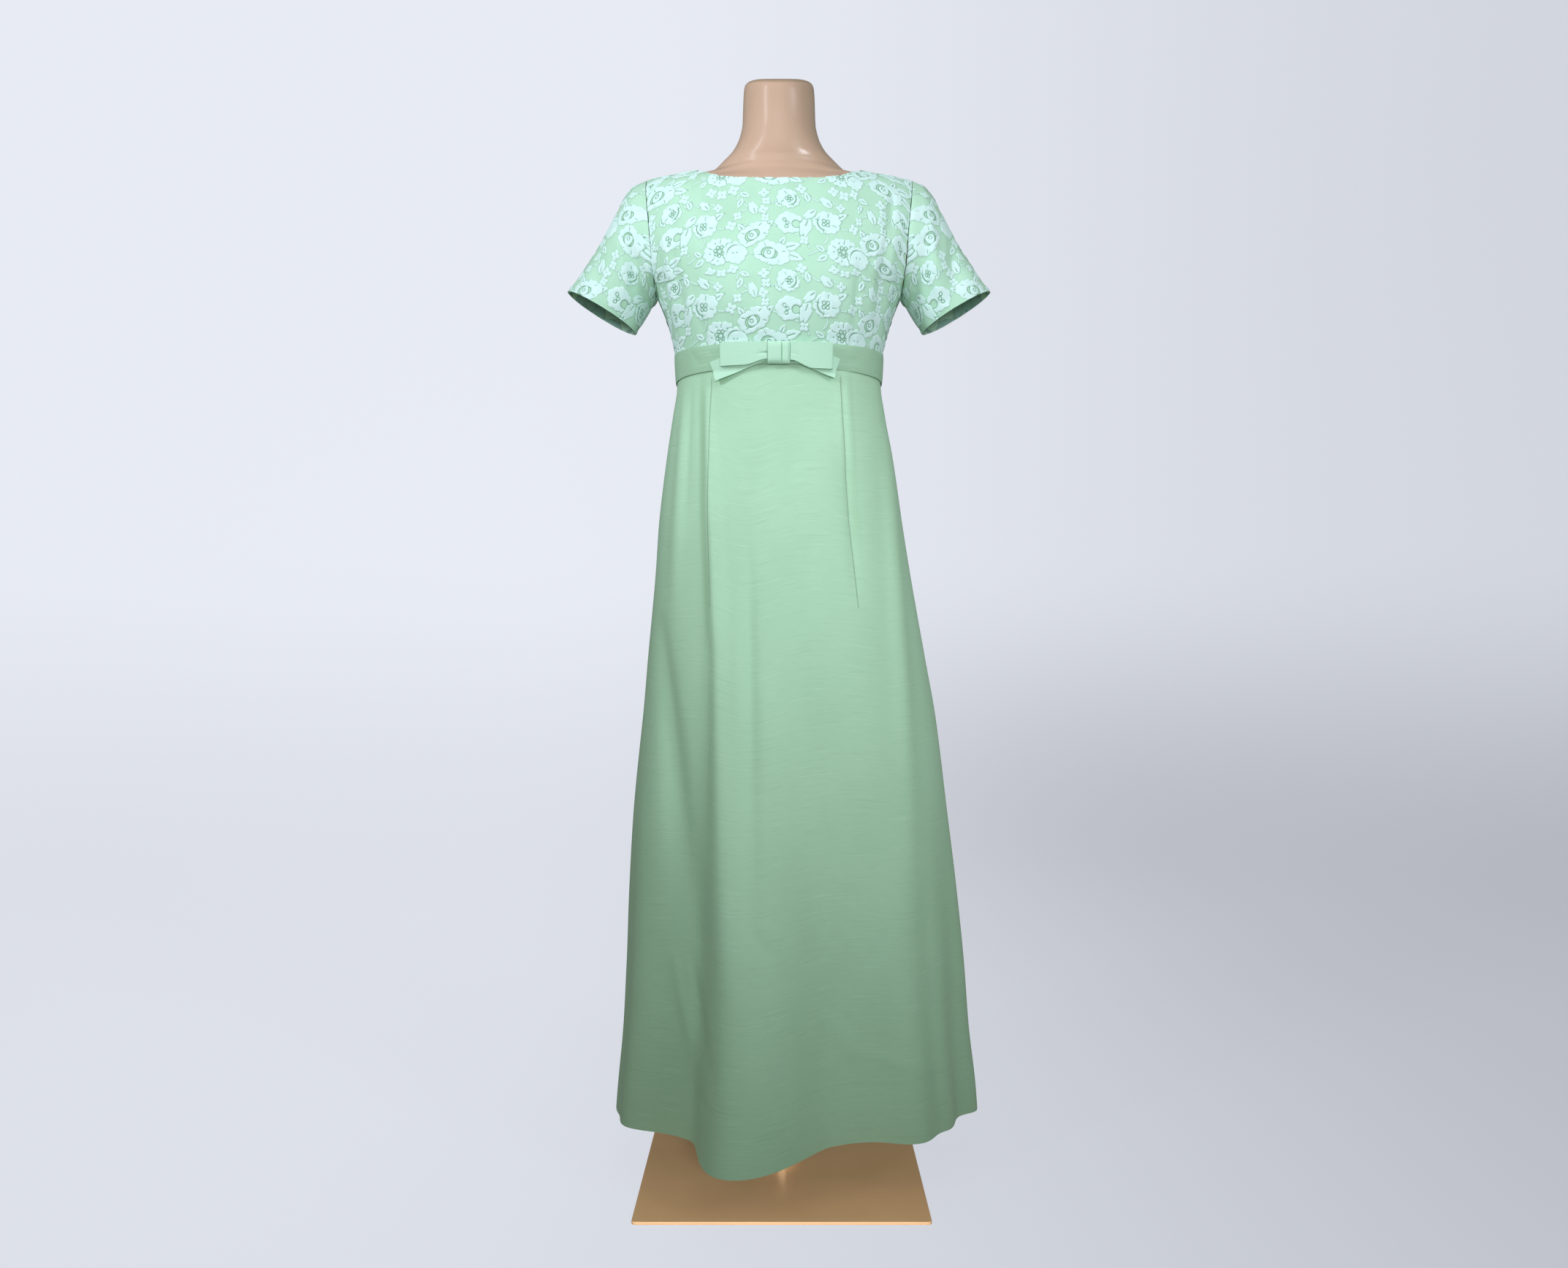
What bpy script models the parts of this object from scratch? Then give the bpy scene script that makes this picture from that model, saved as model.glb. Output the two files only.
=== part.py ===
"""An empire-line evening gown on a limbless dress form with a square metal stand.

Metres, +Z up. The origin is the middle of the base plate's underside and the
gown's front faces -Y, so the wearer's left is +X. Each cut piece of cloth is a
thin closed wall, worked out from the sections and folds in the tables below.
"""

import math
from collections import namedtuple

import bmesh
import bpy
import numpy as np
from mathutils import Vector

COLLECTION_NAME = "empire_gown_on_dress_form"

# Cloth
WALL = 0.0016
BOW_WALL = 0.0012
SEAM_GAP = 0.0003
SEAT_GAP = 0.0003

# Heights of the gown's seams and edges
WAIST_SEAM = 1.1160
UNDERARM = 1.2220
ARMHOLE_TOP = 1.3815
NECK_POINT = 1.3920
HEM = 0.0780
HEM_DIP = 0.16

# The armhole seen from the front is a nearly straight line on the figure
ARMHOLE_X_LOW = 0.1655
ARMHOLE_X_TOP = 0.1850
SLEEVE_STEP = 0.0010

# Columns of faces over a front panel, and rows up the seam of each panel
FRONT_COLUMNS = 30
BACK_COLUMNS = 15
COLUMN_PULL = 0.25
SKIRT_ROWS = 17
SLEEVE_COLUMNS = 24
SLEEVE_ROWS = 7
FORM_COLUMNS = 32

# The waistband and the flat bow on it
BAND_BOTTOM = 1.0955
BAND_FRONT_RISE = 0.0070
BAND_TOP = 1.1350
BAND_COLUMNS = 60
BAND_SEAT = 0.0006
KNOT_HALF_WIDTH = 0.0143
KNOT_SIDE_GAP = 0.0006
KNOT_BOTTOM = 1.1030
KNOT_TOP = 1.1355
KNOT_LIFT = 0.0080
KNOT_EDGE_LIFT = 0.0035
KNOT_PLEAT = 0.0010
KNOT_PLEATS = 3
LOOP_REACH = {"left": 0.0705, "right": 0.0765}
LOOP_BOTTOM = 1.1005
LOOP_TOP = 1.1350
LOOP_PINCH = 0.0018
LOOP_BACK_LIFT = 0.0021
LOOP_FRONT_LIFT = 0.0069
TAIL_WIDTH = 0.0280
TAIL_REACH = {"left": 0.0765, "right": 0.0865}
TAIL_ANGLE = math.radians(20.0)
TAIL_ROOT_HEIGHT = 1.1225
TAIL_LIFT = 0.0005

# The dress form and its stand
FORM_AXIS_X = -0.0040
FORM_INSET = 0.0013
ARM_PLATE_X = 0.1780
PLATE_SIDE = 0.3800
PLATE_THICKNESS = 0.0040
PLATE_CORNER = 0.0050
PLATE_EDGE = 0.0004
POLE_RADIUS = 0.0125
POLE_SIDES = 40
FERRULE_RADIUS = 0.0225
FERRULE_HEIGHT = 0.0220
FERRULE_CHAMFER = 0.0030
FERRULE_STEPS = 40

# Heights of the bodice's rows where they meet the side, armhole and shoulder seams
BODICE_SEAM_HEIGHTS = (
    WAIST_SEAM, BAND_TOP, 1.1560, 1.1780, 1.2000, UNDERARM, 1.2450, 1.2750, 1.3060,
    1.3350, 1.3560, 1.3700, ARMHOLE_TOP, 1.3860, NECK_POINT,
)
LEVEL_RIM = 0.0400

FigureRow = namedtuple("FigureRow", "height half_width front back squareness")
FIGURE = (
    FigureRow(1.5170, 0.0230, 0.0230, 0.0230, 2.00),
    FigureRow(1.5160, 0.0350, 0.0350, 0.0350, 2.00),
    FigureRow(1.5130, 0.0440, 0.0445, 0.0440, 2.00),
    FigureRow(1.5080, 0.0490, 0.0500, 0.0495, 2.00),
    FigureRow(1.5000, 0.0512, 0.0525, 0.0515, 2.00),
    FigureRow(1.4850, 0.0518, 0.0530, 0.0520, 2.00),
    FigureRow(1.4620, 0.0526, 0.0545, 0.0540, 2.00),
    FigureRow(1.4430, 0.0565, 0.0575, 0.0580, 2.00),
    FigureRow(1.4310, 0.0613, 0.0600, 0.0635, 2.00),
    FigureRow(1.4190, 0.0690, 0.0620, 0.0700, 1.95),
    FigureRow(1.4080, 0.0805, 0.0625, 0.0755, 1.85),
    FigureRow(1.3995, 0.0900, 0.0610, 0.0795, 1.75),
    FigureRow(1.3940, 0.0985, 0.0600, 0.0825, 1.60),
    FigureRow(1.3885, 0.1280, 0.0610, 0.0865, 1.48),
    FigureRow(1.3815, 0.1850, 0.0650, 0.0905, 1.30),
    FigureRow(1.3700, 0.2020, 0.0745, 0.0955, 1.55),
    FigureRow(1.3500, 0.2110, 0.0840, 0.1005, 1.85),
    FigureRow(1.3200, 0.2120, 0.0925, 0.1035, 2.05),
    FigureRow(1.2850, 0.2040, 0.1005, 0.1045, 2.20),
    FigureRow(1.2500, 0.1860, 0.1070, 0.1020, 2.30),
    FigureRow(1.2200, 0.1640, 0.1100, 0.0980, 2.35),
    FigureRow(1.1900, 0.1530, 0.1070, 0.0925, 2.35),
    FigureRow(1.1600, 0.1450, 0.0990, 0.0860, 2.30),
    FigureRow(1.1300, 0.1385, 0.0890, 0.0800, 2.25),
    FigureRow(1.1000, 0.1350, 0.0820, 0.0760, 2.20),
    FigureRow(1.0500, 0.1250, 0.0790, 0.0700, 2.20),
    FigureRow(1.0000, 0.1190, 0.0820, 0.0690, 2.20),
    FigureRow(0.9400, 0.1320, 0.0890, 0.0830, 2.25),
    FigureRow(0.8700, 0.1500, 0.0940, 0.1030, 2.30),
    FigureRow(0.8000, 0.1590, 0.0930, 0.1100, 2.30),
    FigureRow(0.7600, 0.1550, 0.0890, 0.1050, 2.30),
    FigureRow(0.7420, 0.1430, 0.0790, 0.0940, 2.25),
    FigureRow(0.7360, 0.1200, 0.0640, 0.0780, 2.20),
)

# The neckline's height at shares of the way from its middle to the shoulder seam
NeckRow = namedtuple("NeckRow", "share front back")
NECK = (
    NeckRow(0.00, 1.3580, 1.3720),
    NeckRow(0.28, 1.3606, 1.3740),
    NeckRow(0.40, 1.3648, 1.3768),
    NeckRow(0.47, 1.3695, 1.3800),
    NeckRow(0.50, 1.3735, 1.3825),
    NeckRow(0.55, 1.3835, 1.3853),
    NeckRow(0.62, 1.3863, 1.3876),
    NeckRow(0.80, 1.3897, 1.3903),
    NeckRow(1.00, NECK_POINT, NECK_POINT),
)

# How far the bodice stands off the figure on its sides, front and back
EaseRow = namedtuple("EaseRow", "height side front back")
EASE = (
    EaseRow(1.4000, 0.0000, 0.0000, 0.0000),
    EaseRow(1.3400, 0.0000, 0.0004, 0.0004),
    EaseRow(1.2800, 0.0025, 0.0010, 0.0010),
    EaseRow(1.2200, 0.0060, 0.0015, 0.0015),
    EaseRow(1.1650, 0.0030, 0.0045, 0.0030),
    EaseRow(1.1200, 0.0040, 0.0030, 0.0030),
    EaseRow(1.0900, 0.0055, 0.0050, 0.0050),
)

# Sections of the skirt's outer side; its middle drifts towards the wearer's left
SkirtRow = namedtuple("SkirtRow", "height half_width front back middle_x middle_y squareness")
SKIRT = (
    SkirtRow(1.1160, 0.1426, 0.0902, 0.0828, 0.0000, 0.0000, 2.22),
    SkirtRow(1.0950, 0.1427, 0.0902, 0.0835, 0.0000, 0.0000, 2.22),
    SkirtRow(1.0500, 0.1490, 0.0935, 0.0900, 0.0000, 0.0010, 2.20),
    SkirtRow(0.9940, 0.1583, 0.1030, 0.1010, 0.0010, 0.0020, 2.20),
    SkirtRow(0.9110, 0.1696, 0.1150, 0.1200, 0.0020, 0.0040, 2.20),
    SkirtRow(0.8300, 0.1790, 0.1230, 0.1310, 0.0055, 0.0060, 2.20),
    SkirtRow(0.7130, 0.1950, 0.1340, 0.1400, 0.0105, 0.0090, 2.15),
    SkirtRow(0.6270, 0.2066, 0.1400, 0.1450, 0.0144, 0.0110, 2.10),
    SkirtRow(0.5190, 0.2190, 0.1460, 0.1520, 0.0155, 0.0130, 2.10),
    SkirtRow(0.3880, 0.2313, 0.1530, 0.1590, 0.0195, 0.0160, 2.05),
    SkirtRow(0.2800, 0.2390, 0.1580, 0.1640, 0.0230, 0.0180, 2.00),
    SkirtRow(0.1940, 0.2445, 0.1610, 0.1680, 0.0240, 0.0190, 2.00),
    SkirtRow(0.1080, 0.2535, 0.1640, 0.1710, 0.0250, 0.0200, 2.00),
    SkirtRow(0.0600, 0.2570, 0.1650, 0.1730, 0.0250, 0.0200, 2.00),
)

# The skirt's folds: bearing in degrees from the front, towards the wearer's left,
# spread to each side in degrees, depth at the hem, and the height where each starts
FoldRow = namedtuple("FoldRow", "bearing right_spread left_spread depth start")
FOLDS = (
    FoldRow(-14.0, 21.0, 25.0, 0.0760, 0.900),
    FoldRow(-42.0, 12.0, 12.0, -0.0050, 0.800),
    FoldRow(-62.0, 14.0, 14.0, 0.0100, 0.700),
    FoldRow(19.0, 16.0, 16.0, -0.0090, 0.800),
    FoldRow(37.0, 13.0, 13.0, 0.0130, 0.700),
    FoldRow(68.0, 16.0, 14.0, -0.0150, 0.600),
    FoldRow(146.0, 20.0, 18.0, 0.0420, 0.850),
    FoldRow(170.0, 14.0, 14.0, -0.0140, 0.700),
    FoldRow(-160.0, 16.0, 20.0, 0.0340, 0.780),
    FoldRow(-125.0, 16.0, 16.0, -0.0120, 0.650),
)

# Sections of a sleeve from the armhole to its hem, as seen from the front
SleeveRow = namedtuple("SleeveRow", "along top_x top_z under_x under_z half_depth")
SLEEVE = (
    SleeveRow(0.00, 0.1850, 1.3832, 0.1716, 1.2222, 0.0500),
    SleeveRow(0.10, 0.2010, 1.3760, 0.1745, 1.2155, 0.0520),
    SleeveRow(0.22, 0.2140, 1.3610, 0.1780, 1.2090, 0.0540),
    SleeveRow(0.40, 0.2305, 1.3290, 0.1835, 1.2000, 0.0550),
    SleeveRow(0.60, 0.2495, 1.2935, 0.1895, 1.1900, 0.0550),
    SleeveRow(0.80, 0.2710, 1.2590, 0.1955, 1.1800, 0.0540),
    SleeveRow(1.00, 0.2960, 1.2250, 0.2020, 1.1700, 0.0530),
)
SLEEVE_BLEND = 0.45
SLEEVE_STEP_ALONG = 0.01

Finish = namedtuple("Finish", "name colour roughness metallic")
LACED_SATIN = Finish("laced_mint_satin", (0.50, 0.78, 0.62), 0.55, 0.0)
MINT_WEAVE = Finish("mint_slub_satin", (0.38, 0.66, 0.45), 0.55, 0.0)
TAN_PLASTIC = Finish("tan_gloss_plastic", (0.62, 0.45, 0.32), 0.25, 0.0)
GOLD = Finish("polished_gold_metal", (0.80, 0.62, 0.34), 0.15, 1.0)
BRONZE = Finish("brushed_bronze_metal", (0.45, 0.32, 0.19), 0.35, 1.0)


class Curve:
    """A smooth curve through one column of a table that never overshoots its rows."""

    def __init__(self, rows, column, by="height"):
        pairs = sorted((getattr(row, by), getattr(row, column)) for row in rows)
        self.knots = np.array([pair[0] for pair in pairs])
        self.values = np.array([pair[1] for pair in pairs])
        steps = np.diff(self.knots)
        slopes = np.diff(self.values) / steps
        self.tangents = np.zeros(len(pairs))
        self.tangents[0] = slopes[0]
        self.tangents[-1] = slopes[-1]
        for index in range(1, len(pairs) - 1):
            before = slopes[index - 1]
            after = slopes[index]
            if before * after > 0.0:
                weight_a = 2.0 * steps[index] + steps[index - 1]
                weight_b = steps[index] + 2.0 * steps[index - 1]
                mean = weight_a / before + weight_b / after
                self.tangents[index] = (weight_a + weight_b) / mean

    def __call__(self, at):
        """Return the value at a height, held level beyond the table's ends."""
        at = min(max(at, self.knots[0]), self.knots[-1])
        index = min(int(np.searchsorted(self.knots, at, side="right")) - 1, len(self.knots) - 2)
        step = self.knots[index + 1] - self.knots[index]
        part = (at - self.knots[index]) / step
        rise = part * part * (3.0 - 2.0 * part)
        start = part * (1.0 - part) ** 2
        end = part * part * (part - 1.0)
        value = self.values[index] + (self.values[index + 1] - self.values[index]) * rise
        return float(value + step * (start * self.tangents[index] + end * self.tangents[index + 1]))


def curves(rows, by="height"):
    """Return a Curve for each column of a table, by the column's name."""
    return {name: Curve(rows, name, by) for name in rows[0]._fields if name != by}


FIGURE_AT = curves(FIGURE)
NECK_AT = curves(NECK, "share")
EASE_AT = curves(EASE)
SKIRT_AT = curves(SKIRT)
SLEEVE_AT = curves(SLEEVE, "along")


def rounded_section(bearing, half_width, front, back, squareness):
    """Return x and y on a rounded section: bearing 0 is its front, 90 degrees its +X side."""
    power = 2.0 / squareness
    across = math.sin(bearing)
    ahead = math.cos(bearing)
    depth = front if ahead > 0.0 else back
    x = half_width * math.copysign(abs(across) ** power, across)
    y = -depth * math.copysign(abs(ahead) ** power, ahead)
    return x, y


def normal_of(surface, first, second, first_step=math.radians(0.5), second_step=0.0004):
    """Return the outward unit normal of a surface function of a bearing and a height."""
    along = surface(first + first_step, second) - surface(first - first_step, second)
    up = surface(first, second + second_step) - surface(first, second - second_step)
    return along.cross(up).normalized()


def figure_point(bearing, height):
    """Return a point on the figure that the form and the bodice share."""
    x, y = rounded_section(
        bearing,
        FIGURE_AT["half_width"](height),
        FIGURE_AT["front"](height),
        FIGURE_AT["back"](height),
        FIGURE_AT["squareness"](height),
    )
    return Vector((FORM_AXIS_X + x, y, height))


def level_near_waist(out, height):
    """Return a wall's direction turned level at the waist seam, so the rims stay flat."""
    tilt = min(abs(height - WAIST_SEAM) / LEVEL_RIM, 1.0)
    return Vector((out.x, out.y, out.z * tilt)).normalized()


def bodice_point(bearing, height, depth=0.0):
    """Return a point in the bodice's wall, at a depth below its outer side."""
    out = level_near_waist(normal_of(figure_point, bearing, height), height)
    facing = "front" if out.y < 0.0 else "back"
    ease = EASE_AT["side"](height) * out.x ** 2 + EASE_AT[facing](height) * out.y ** 2
    return figure_point(bearing, height) + out * (SEAT_GAP + WALL + ease - depth)


def armhole_bearing(height):
    """Return the bearing of the armhole's edge, or of the side and shoulder seams."""
    part = (height - UNDERARM) / (ARMHOLE_TOP - UNDERARM)
    if part <= 0.0 or part >= 1.0:
        return math.pi / 2.0
    edge = ARMHOLE_X_LOW + (ARMHOLE_X_TOP - ARMHOLE_X_LOW) * part
    share = min(edge / FIGURE_AT["half_width"](height), 1.0)
    return math.asin(share ** (FIGURE_AT["squareness"](height) / 2.0))


def bodice_cell(share, level, is_front, depth):
    """Return a point of a bodice panel from its column share and its row's level."""
    side = "front" if is_front else "back"
    top = NECK_AT[side](abs(share))
    height = WAIST_SEAM + level * (top - WAIST_SEAM)
    bearing = share * armhole_bearing(height)
    if not is_front:
        bearing = math.pi - bearing
    return bodice_point(bearing, height, depth)


def fold_push(bearing, height):
    """Return how far the folds push the skirt out at a bearing and a height."""
    push = 0.0
    for fold in FOLDS:
        if height >= fold.start:
            continue
        away = math.degrees(bearing) - fold.bearing
        away = (away + 180.0) % 360.0 - 180.0
        spread = fold.left_spread if away > 0.0 else fold.right_spread
        if abs(away) >= spread:
            continue
        grown = ((fold.start - height) / (fold.start - HEM)) ** 1.4
        push += fold.depth * grown * (0.5 + 0.5 * math.cos(math.pi * away / spread))
    return push


def skirt_point(bearing, height):
    """Return a point on the skirt's outer side."""
    x, y = rounded_section(
        bearing,
        SKIRT_AT["half_width"](height),
        SKIRT_AT["front"](height),
        SKIRT_AT["back"](height),
        SKIRT_AT["squareness"](height),
    )
    out = Vector((x, y, 0.0)).normalized() * fold_push(bearing, height)
    middle = Vector((FORM_AXIS_X + SKIRT_AT["middle_x"](height), SKIRT_AT["middle_y"](height), height))
    return middle + Vector((x, y, 0.0)) + out


def skirt_cell(bearing, level, depth):
    """Return a point in the skirt's wall; level 0 is the waist seam and 1 the hem."""
    hem = HEM - HEM_DIP * fold_push(bearing, HEM)
    height = WAIST_SEAM - SEAM_GAP + level * (hem - WAIST_SEAM + SEAM_GAP)
    out = level_near_waist(normal_of(skirt_point, bearing, height), height)
    return skirt_point(bearing, height) - out * depth


def band_point(bearing, height, lift=0.0):
    """Return a point over the waist seam, at a lift from the skirt's and the bodice's outer side."""
    part = min(max((height - BAND_BOTTOM) / (BAND_TOP - BAND_BOTTOM), 0.0), 1.0)
    base = skirt_point(bearing, BAND_BOTTOM).lerp(bodice_point(bearing, BAND_TOP), part)
    out = normal_of(skirt_point, bearing, WAIST_SEAM)
    out = Vector((out.x, out.y, 0.0)).normalized()
    return Vector((base.x, base.y, height)) + out * lift


def front_point(x, height, lift):
    """Return a point in front of the waistband at x from the form's axis."""
    share = min(abs(x) / SKIRT_AT["half_width"](WAIST_SEAM), 1.0)
    bearing = math.asin(share ** (SKIRT_AT["squareness"](WAIST_SEAM) / 2.0))
    return band_point(math.copysign(bearing, x), height, BAND_SEAT + WALL + lift)


def armhole_loop(turn):
    """Return a point on the armhole's edge; turn 0 is its top and 90 degrees its front."""
    middle = (ARMHOLE_TOP + UNDERARM) / 2.0
    height = middle + (ARMHOLE_TOP - UNDERARM) / 2.0 * math.cos(turn)
    bearing = armhole_bearing(height)
    if math.sin(turn) < 0.0:
        bearing = math.pi - bearing
    return bodice_point(bearing, height)


def sleeve_point(turn, along):
    """Return a point on the outer side of the wearer's left sleeve."""
    top = Vector((SLEEVE_AT["top_x"](along), 0.0, SLEEVE_AT["top_z"](along)))
    under = Vector((SLEEVE_AT["under_x"](along), 0.0, SLEEVE_AT["under_z"](along)))
    middle = (top + under) / 2.0
    reach = (top - under) / 2.0
    depth = Vector((0.0, -SLEEVE_AT["half_depth"](along), 0.0))
    ring = middle + reach * math.cos(turn) + depth * math.sin(turn)
    ring.x += FORM_AXIS_X
    if along >= SLEEVE_BLEND:
        return ring
    head_top = Vector((SLEEVE[0].top_x, 0.0, SLEEVE[0].top_z))
    head_under = Vector((SLEEVE[0].under_x, 0.0, SLEEVE[0].under_z))
    head = (head_top + head_under) / 2.0 + (head_top - head_under) / 2.0 * math.cos(turn)
    head.y -= SLEEVE[0].half_depth * math.sin(turn)
    head.x += FORM_AXIS_X
    fade = 0.5 + 0.5 * math.cos(math.pi * along / SLEEVE_BLEND)
    step = Vector((SLEEVE_STEP, 0.0, 0.0))
    return ring + (armhole_loop(turn) + step - head) * fade


def sleeve_cell(turn, along, depth, side):
    """Return a point in a sleeve's wall; side is 1 for the wearer's left and -1 for the right."""
    step = SLEEVE_STEP_ALONG
    around = sleeve_point(turn + step, along) - sleeve_point(turn - step, along)
    low = max(along - step, 0.0)
    high = min(along + step, 1.0)
    down = sleeve_point(turn, high) - sleeve_point(turn, low)
    out = down.cross(around).normalized()
    at = sleeve_point(turn, along) - out * depth
    return Vector((FORM_AXIS_X + side * (at.x - FORM_AXIS_X), at.y, at.z))


def material(finish):
    """Return the finish's Principled material, made once."""
    made = bpy.data.materials.get(finish.name)
    if made is None:
        made = bpy.data.materials.new(finish.name)
        made.use_nodes = True
        shader = made.node_tree.nodes["Principled BSDF"]
        shader.inputs["Base Color"].default_value = (*finish.colour, 1.0)
        shader.inputs["Roughness"].default_value = finish.roughness
        shader.inputs["Metallic"].default_value = finish.metallic
        made.diffuse_color = (*finish.colour, 1.0)
    return made


def add_object(name, mesh, finish, collection):
    """Put a mesh in the part's collection with its finish, shaded smooth."""
    made = bpy.data.objects.new(name, mesh)
    mesh.materials.clear()
    mesh.materials.append(material(finish))
    mesh.shade_smooth()
    mesh.set_sharp_from_angle(angle=math.radians(50.0))
    collection.objects.link(made)
    return made


def mesh_of(name, points, faces):
    """Return a mesh with its faces turned to point out."""
    mesh = bpy.data.meshes.new(name)
    mesh.from_pydata([tuple(point) for point in points], [], faces)
    work = bmesh.new()
    work.from_mesh(mesh)
    bmesh.ops.recalc_face_normals(work, faces=work.faces)
    work.to_mesh(mesh)
    work.free()
    return mesh


def trim_column(grid, edge, neighbour, distance):
    """Draw one edge column of a grid in towards its neighbour."""
    for row in grid:
        way = (row[neighbour] - row[edge]).normalized()
        row[edge] = row[edge] + way * distance


def cloth_wall(name, outer, inner, finish, collection, closed=False):
    """Build a closed wall between an outer and an inner grid of points, row by row."""
    rows = len(outer)
    columns = len(outer[0])
    points = [point for row in outer for point in row]
    points += [point for row in inner for point in row]
    back = rows * columns
    faces = []
    steps = columns if closed else columns - 1
    for row in range(rows - 1):
        for column in range(steps):
            across = (column + 1) % columns
            a = row * columns + column
            b = row * columns + across
            c = (row + 1) * columns + across
            d = (row + 1) * columns + column
            faces.append((a, b, c, d))
            faces.append((back + a, back + d, back + c, back + b))
    for row in (0, rows - 1):
        for column in range(steps):
            a = row * columns + column
            b = row * columns + (column + 1) % columns
            faces.append((a, b, back + b, back + a))
    if not closed:
        for column in (0, columns - 1):
            for row in range(rows - 1):
                a = row * columns + column
                b = (row + 1) * columns + column
                faces.append((a, b, back + b, back + a))
    return add_object(name, mesh_of(name, points, faces), finish, collection)


def spread(first, last, count):
    """Return count + 1 evenly spaced values."""
    return [first + (last - first) * index / count for index in range(count + 1)]


def panel(name, cell, columns, rows, finish, collection, thickness=WALL):
    """Build a cut panel from a cell function, drawn in at both its seams."""
    outer = [[cell(column, row, 0.0) for column in columns] for row in rows]
    inner = [[cell(column, row, thickness) for column in columns] for row in rows]
    for grid in (outer, inner):
        trim_column(grid, 0, 1, SEAM_GAP / 2.0)
        trim_column(grid, -1, -2, SEAM_GAP / 2.0)
    return cloth_wall(name, outer, inner, finish, collection)


def build_bodice(collection):
    """Build the bodice's front and its two backs."""
    levels = [(height - WAIST_SEAM) / (NECK_POINT - WAIST_SEAM) for height in BODICE_SEAM_HEIGHTS]

    def front(share, level, depth):
        return bodice_cell(share, level, True, depth)

    def back(share, level, depth):
        return bodice_cell(share, level, False, depth)

    panel("bodice_front", front, spread(-1.0, 1.0, FRONT_COLUMNS), levels, LACED_SATIN, collection)
    panel("bodice_back_left", back, spread(1.0, 0.0, BACK_COLUMNS), levels, LACED_SATIN, collection)
    panel("bodice_back_right", back, spread(0.0, -1.0, BACK_COLUMNS), levels, LACED_SATIN, collection)


def gathered(bearing, level, side=math.pi / 2.0):
    """Return a front column's bearing, drawn towards the main fold as the rows go down."""
    pull = COLUMN_PULL * level * (1.0 - (bearing / side) ** 2)
    return bearing - pull * math.sin(2.0 * (bearing - math.radians(FOLDS[0].bearing)))


def build_skirt(collection):
    """Build the skirt's front and its two backs."""
    under_band = (WAIST_SEAM - BAND_BOTTOM) / (WAIST_SEAM - HEM)
    levels = [0.0] + spread(under_band, 1.0, SKIRT_ROWS)
    side = math.pi / 2.0
    front = spread(-side, side, FRONT_COLUMNS)
    left = spread(side, math.pi, BACK_COLUMNS)
    right = spread(math.pi, math.pi + side, BACK_COLUMNS)

    def front_cell(bearing, level, depth):
        return skirt_cell(gathered(bearing, level), level, depth)

    panel("skirt_front", front_cell, front, levels, MINT_WEAVE, collection)
    panel("skirt_back_left", skirt_cell, left, levels, MINT_WEAVE, collection)
    panel("skirt_back_right", skirt_cell, right, levels, MINT_WEAVE, collection)


def build_sleeves(collection):
    """Build the two set-in sleeves, open at the armhole and the hem."""
    turns = spread(0.0, 2.0 * math.pi, SLEEVE_COLUMNS)[:-1]
    rows = spread(0.0, 1.0, SLEEVE_ROWS)
    for name, side in (("sleeve_left", 1.0), ("sleeve_right", -1.0)):
        outer = [[sleeve_cell(turn, along, 0.0, side) for turn in turns] for along in rows]
        inner = [[sleeve_cell(turn, along, WALL, side) for turn in turns] for along in rows]
        cloth_wall(name, outer, inner, LACED_SATIN, collection, closed=True)


def build_waistband(collection):
    """Build the band over the waist seam; its ends meet at the centre back."""
    bearings = spread(-math.pi, math.pi, BAND_COLUMNS)

    def cell(bearing, level, depth):
        low = BAND_BOTTOM + BAND_FRONT_RISE * max(math.cos(bearing), 0.0)
        return band_point(bearing, low + (BAND_TOP - low) * level, BAND_SEAT + WALL - depth)

    panel("waistband", cell, bearings, spread(0.0, 1.0, 2), MINT_WEAVE, collection)


def loop_path(reach, lift_in):
    """Return x and lift along a bow loop: out in front, round its end, back behind."""
    behind = LOOP_BACK_LIFT + lift_in
    ahead = LOOP_FRONT_LIFT - lift_in
    root = KNOT_HALF_WIDTH + KNOT_SIDE_GAP
    bend = (ahead - behind) / 2.0
    centre = reach - (LOOP_FRONT_LIFT - LOOP_BACK_LIFT) / 2.0
    path = [(x, ahead) for x in spread(root, centre, 5)]
    for turn in spread(0.0, math.pi, 6)[1:-1]:
        path.append((centre + bend * math.sin(turn), (ahead + behind) / 2.0 + bend * math.cos(turn)))
    path += [(x, behind) for x in spread(centre, root, 5)]
    return path


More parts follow.
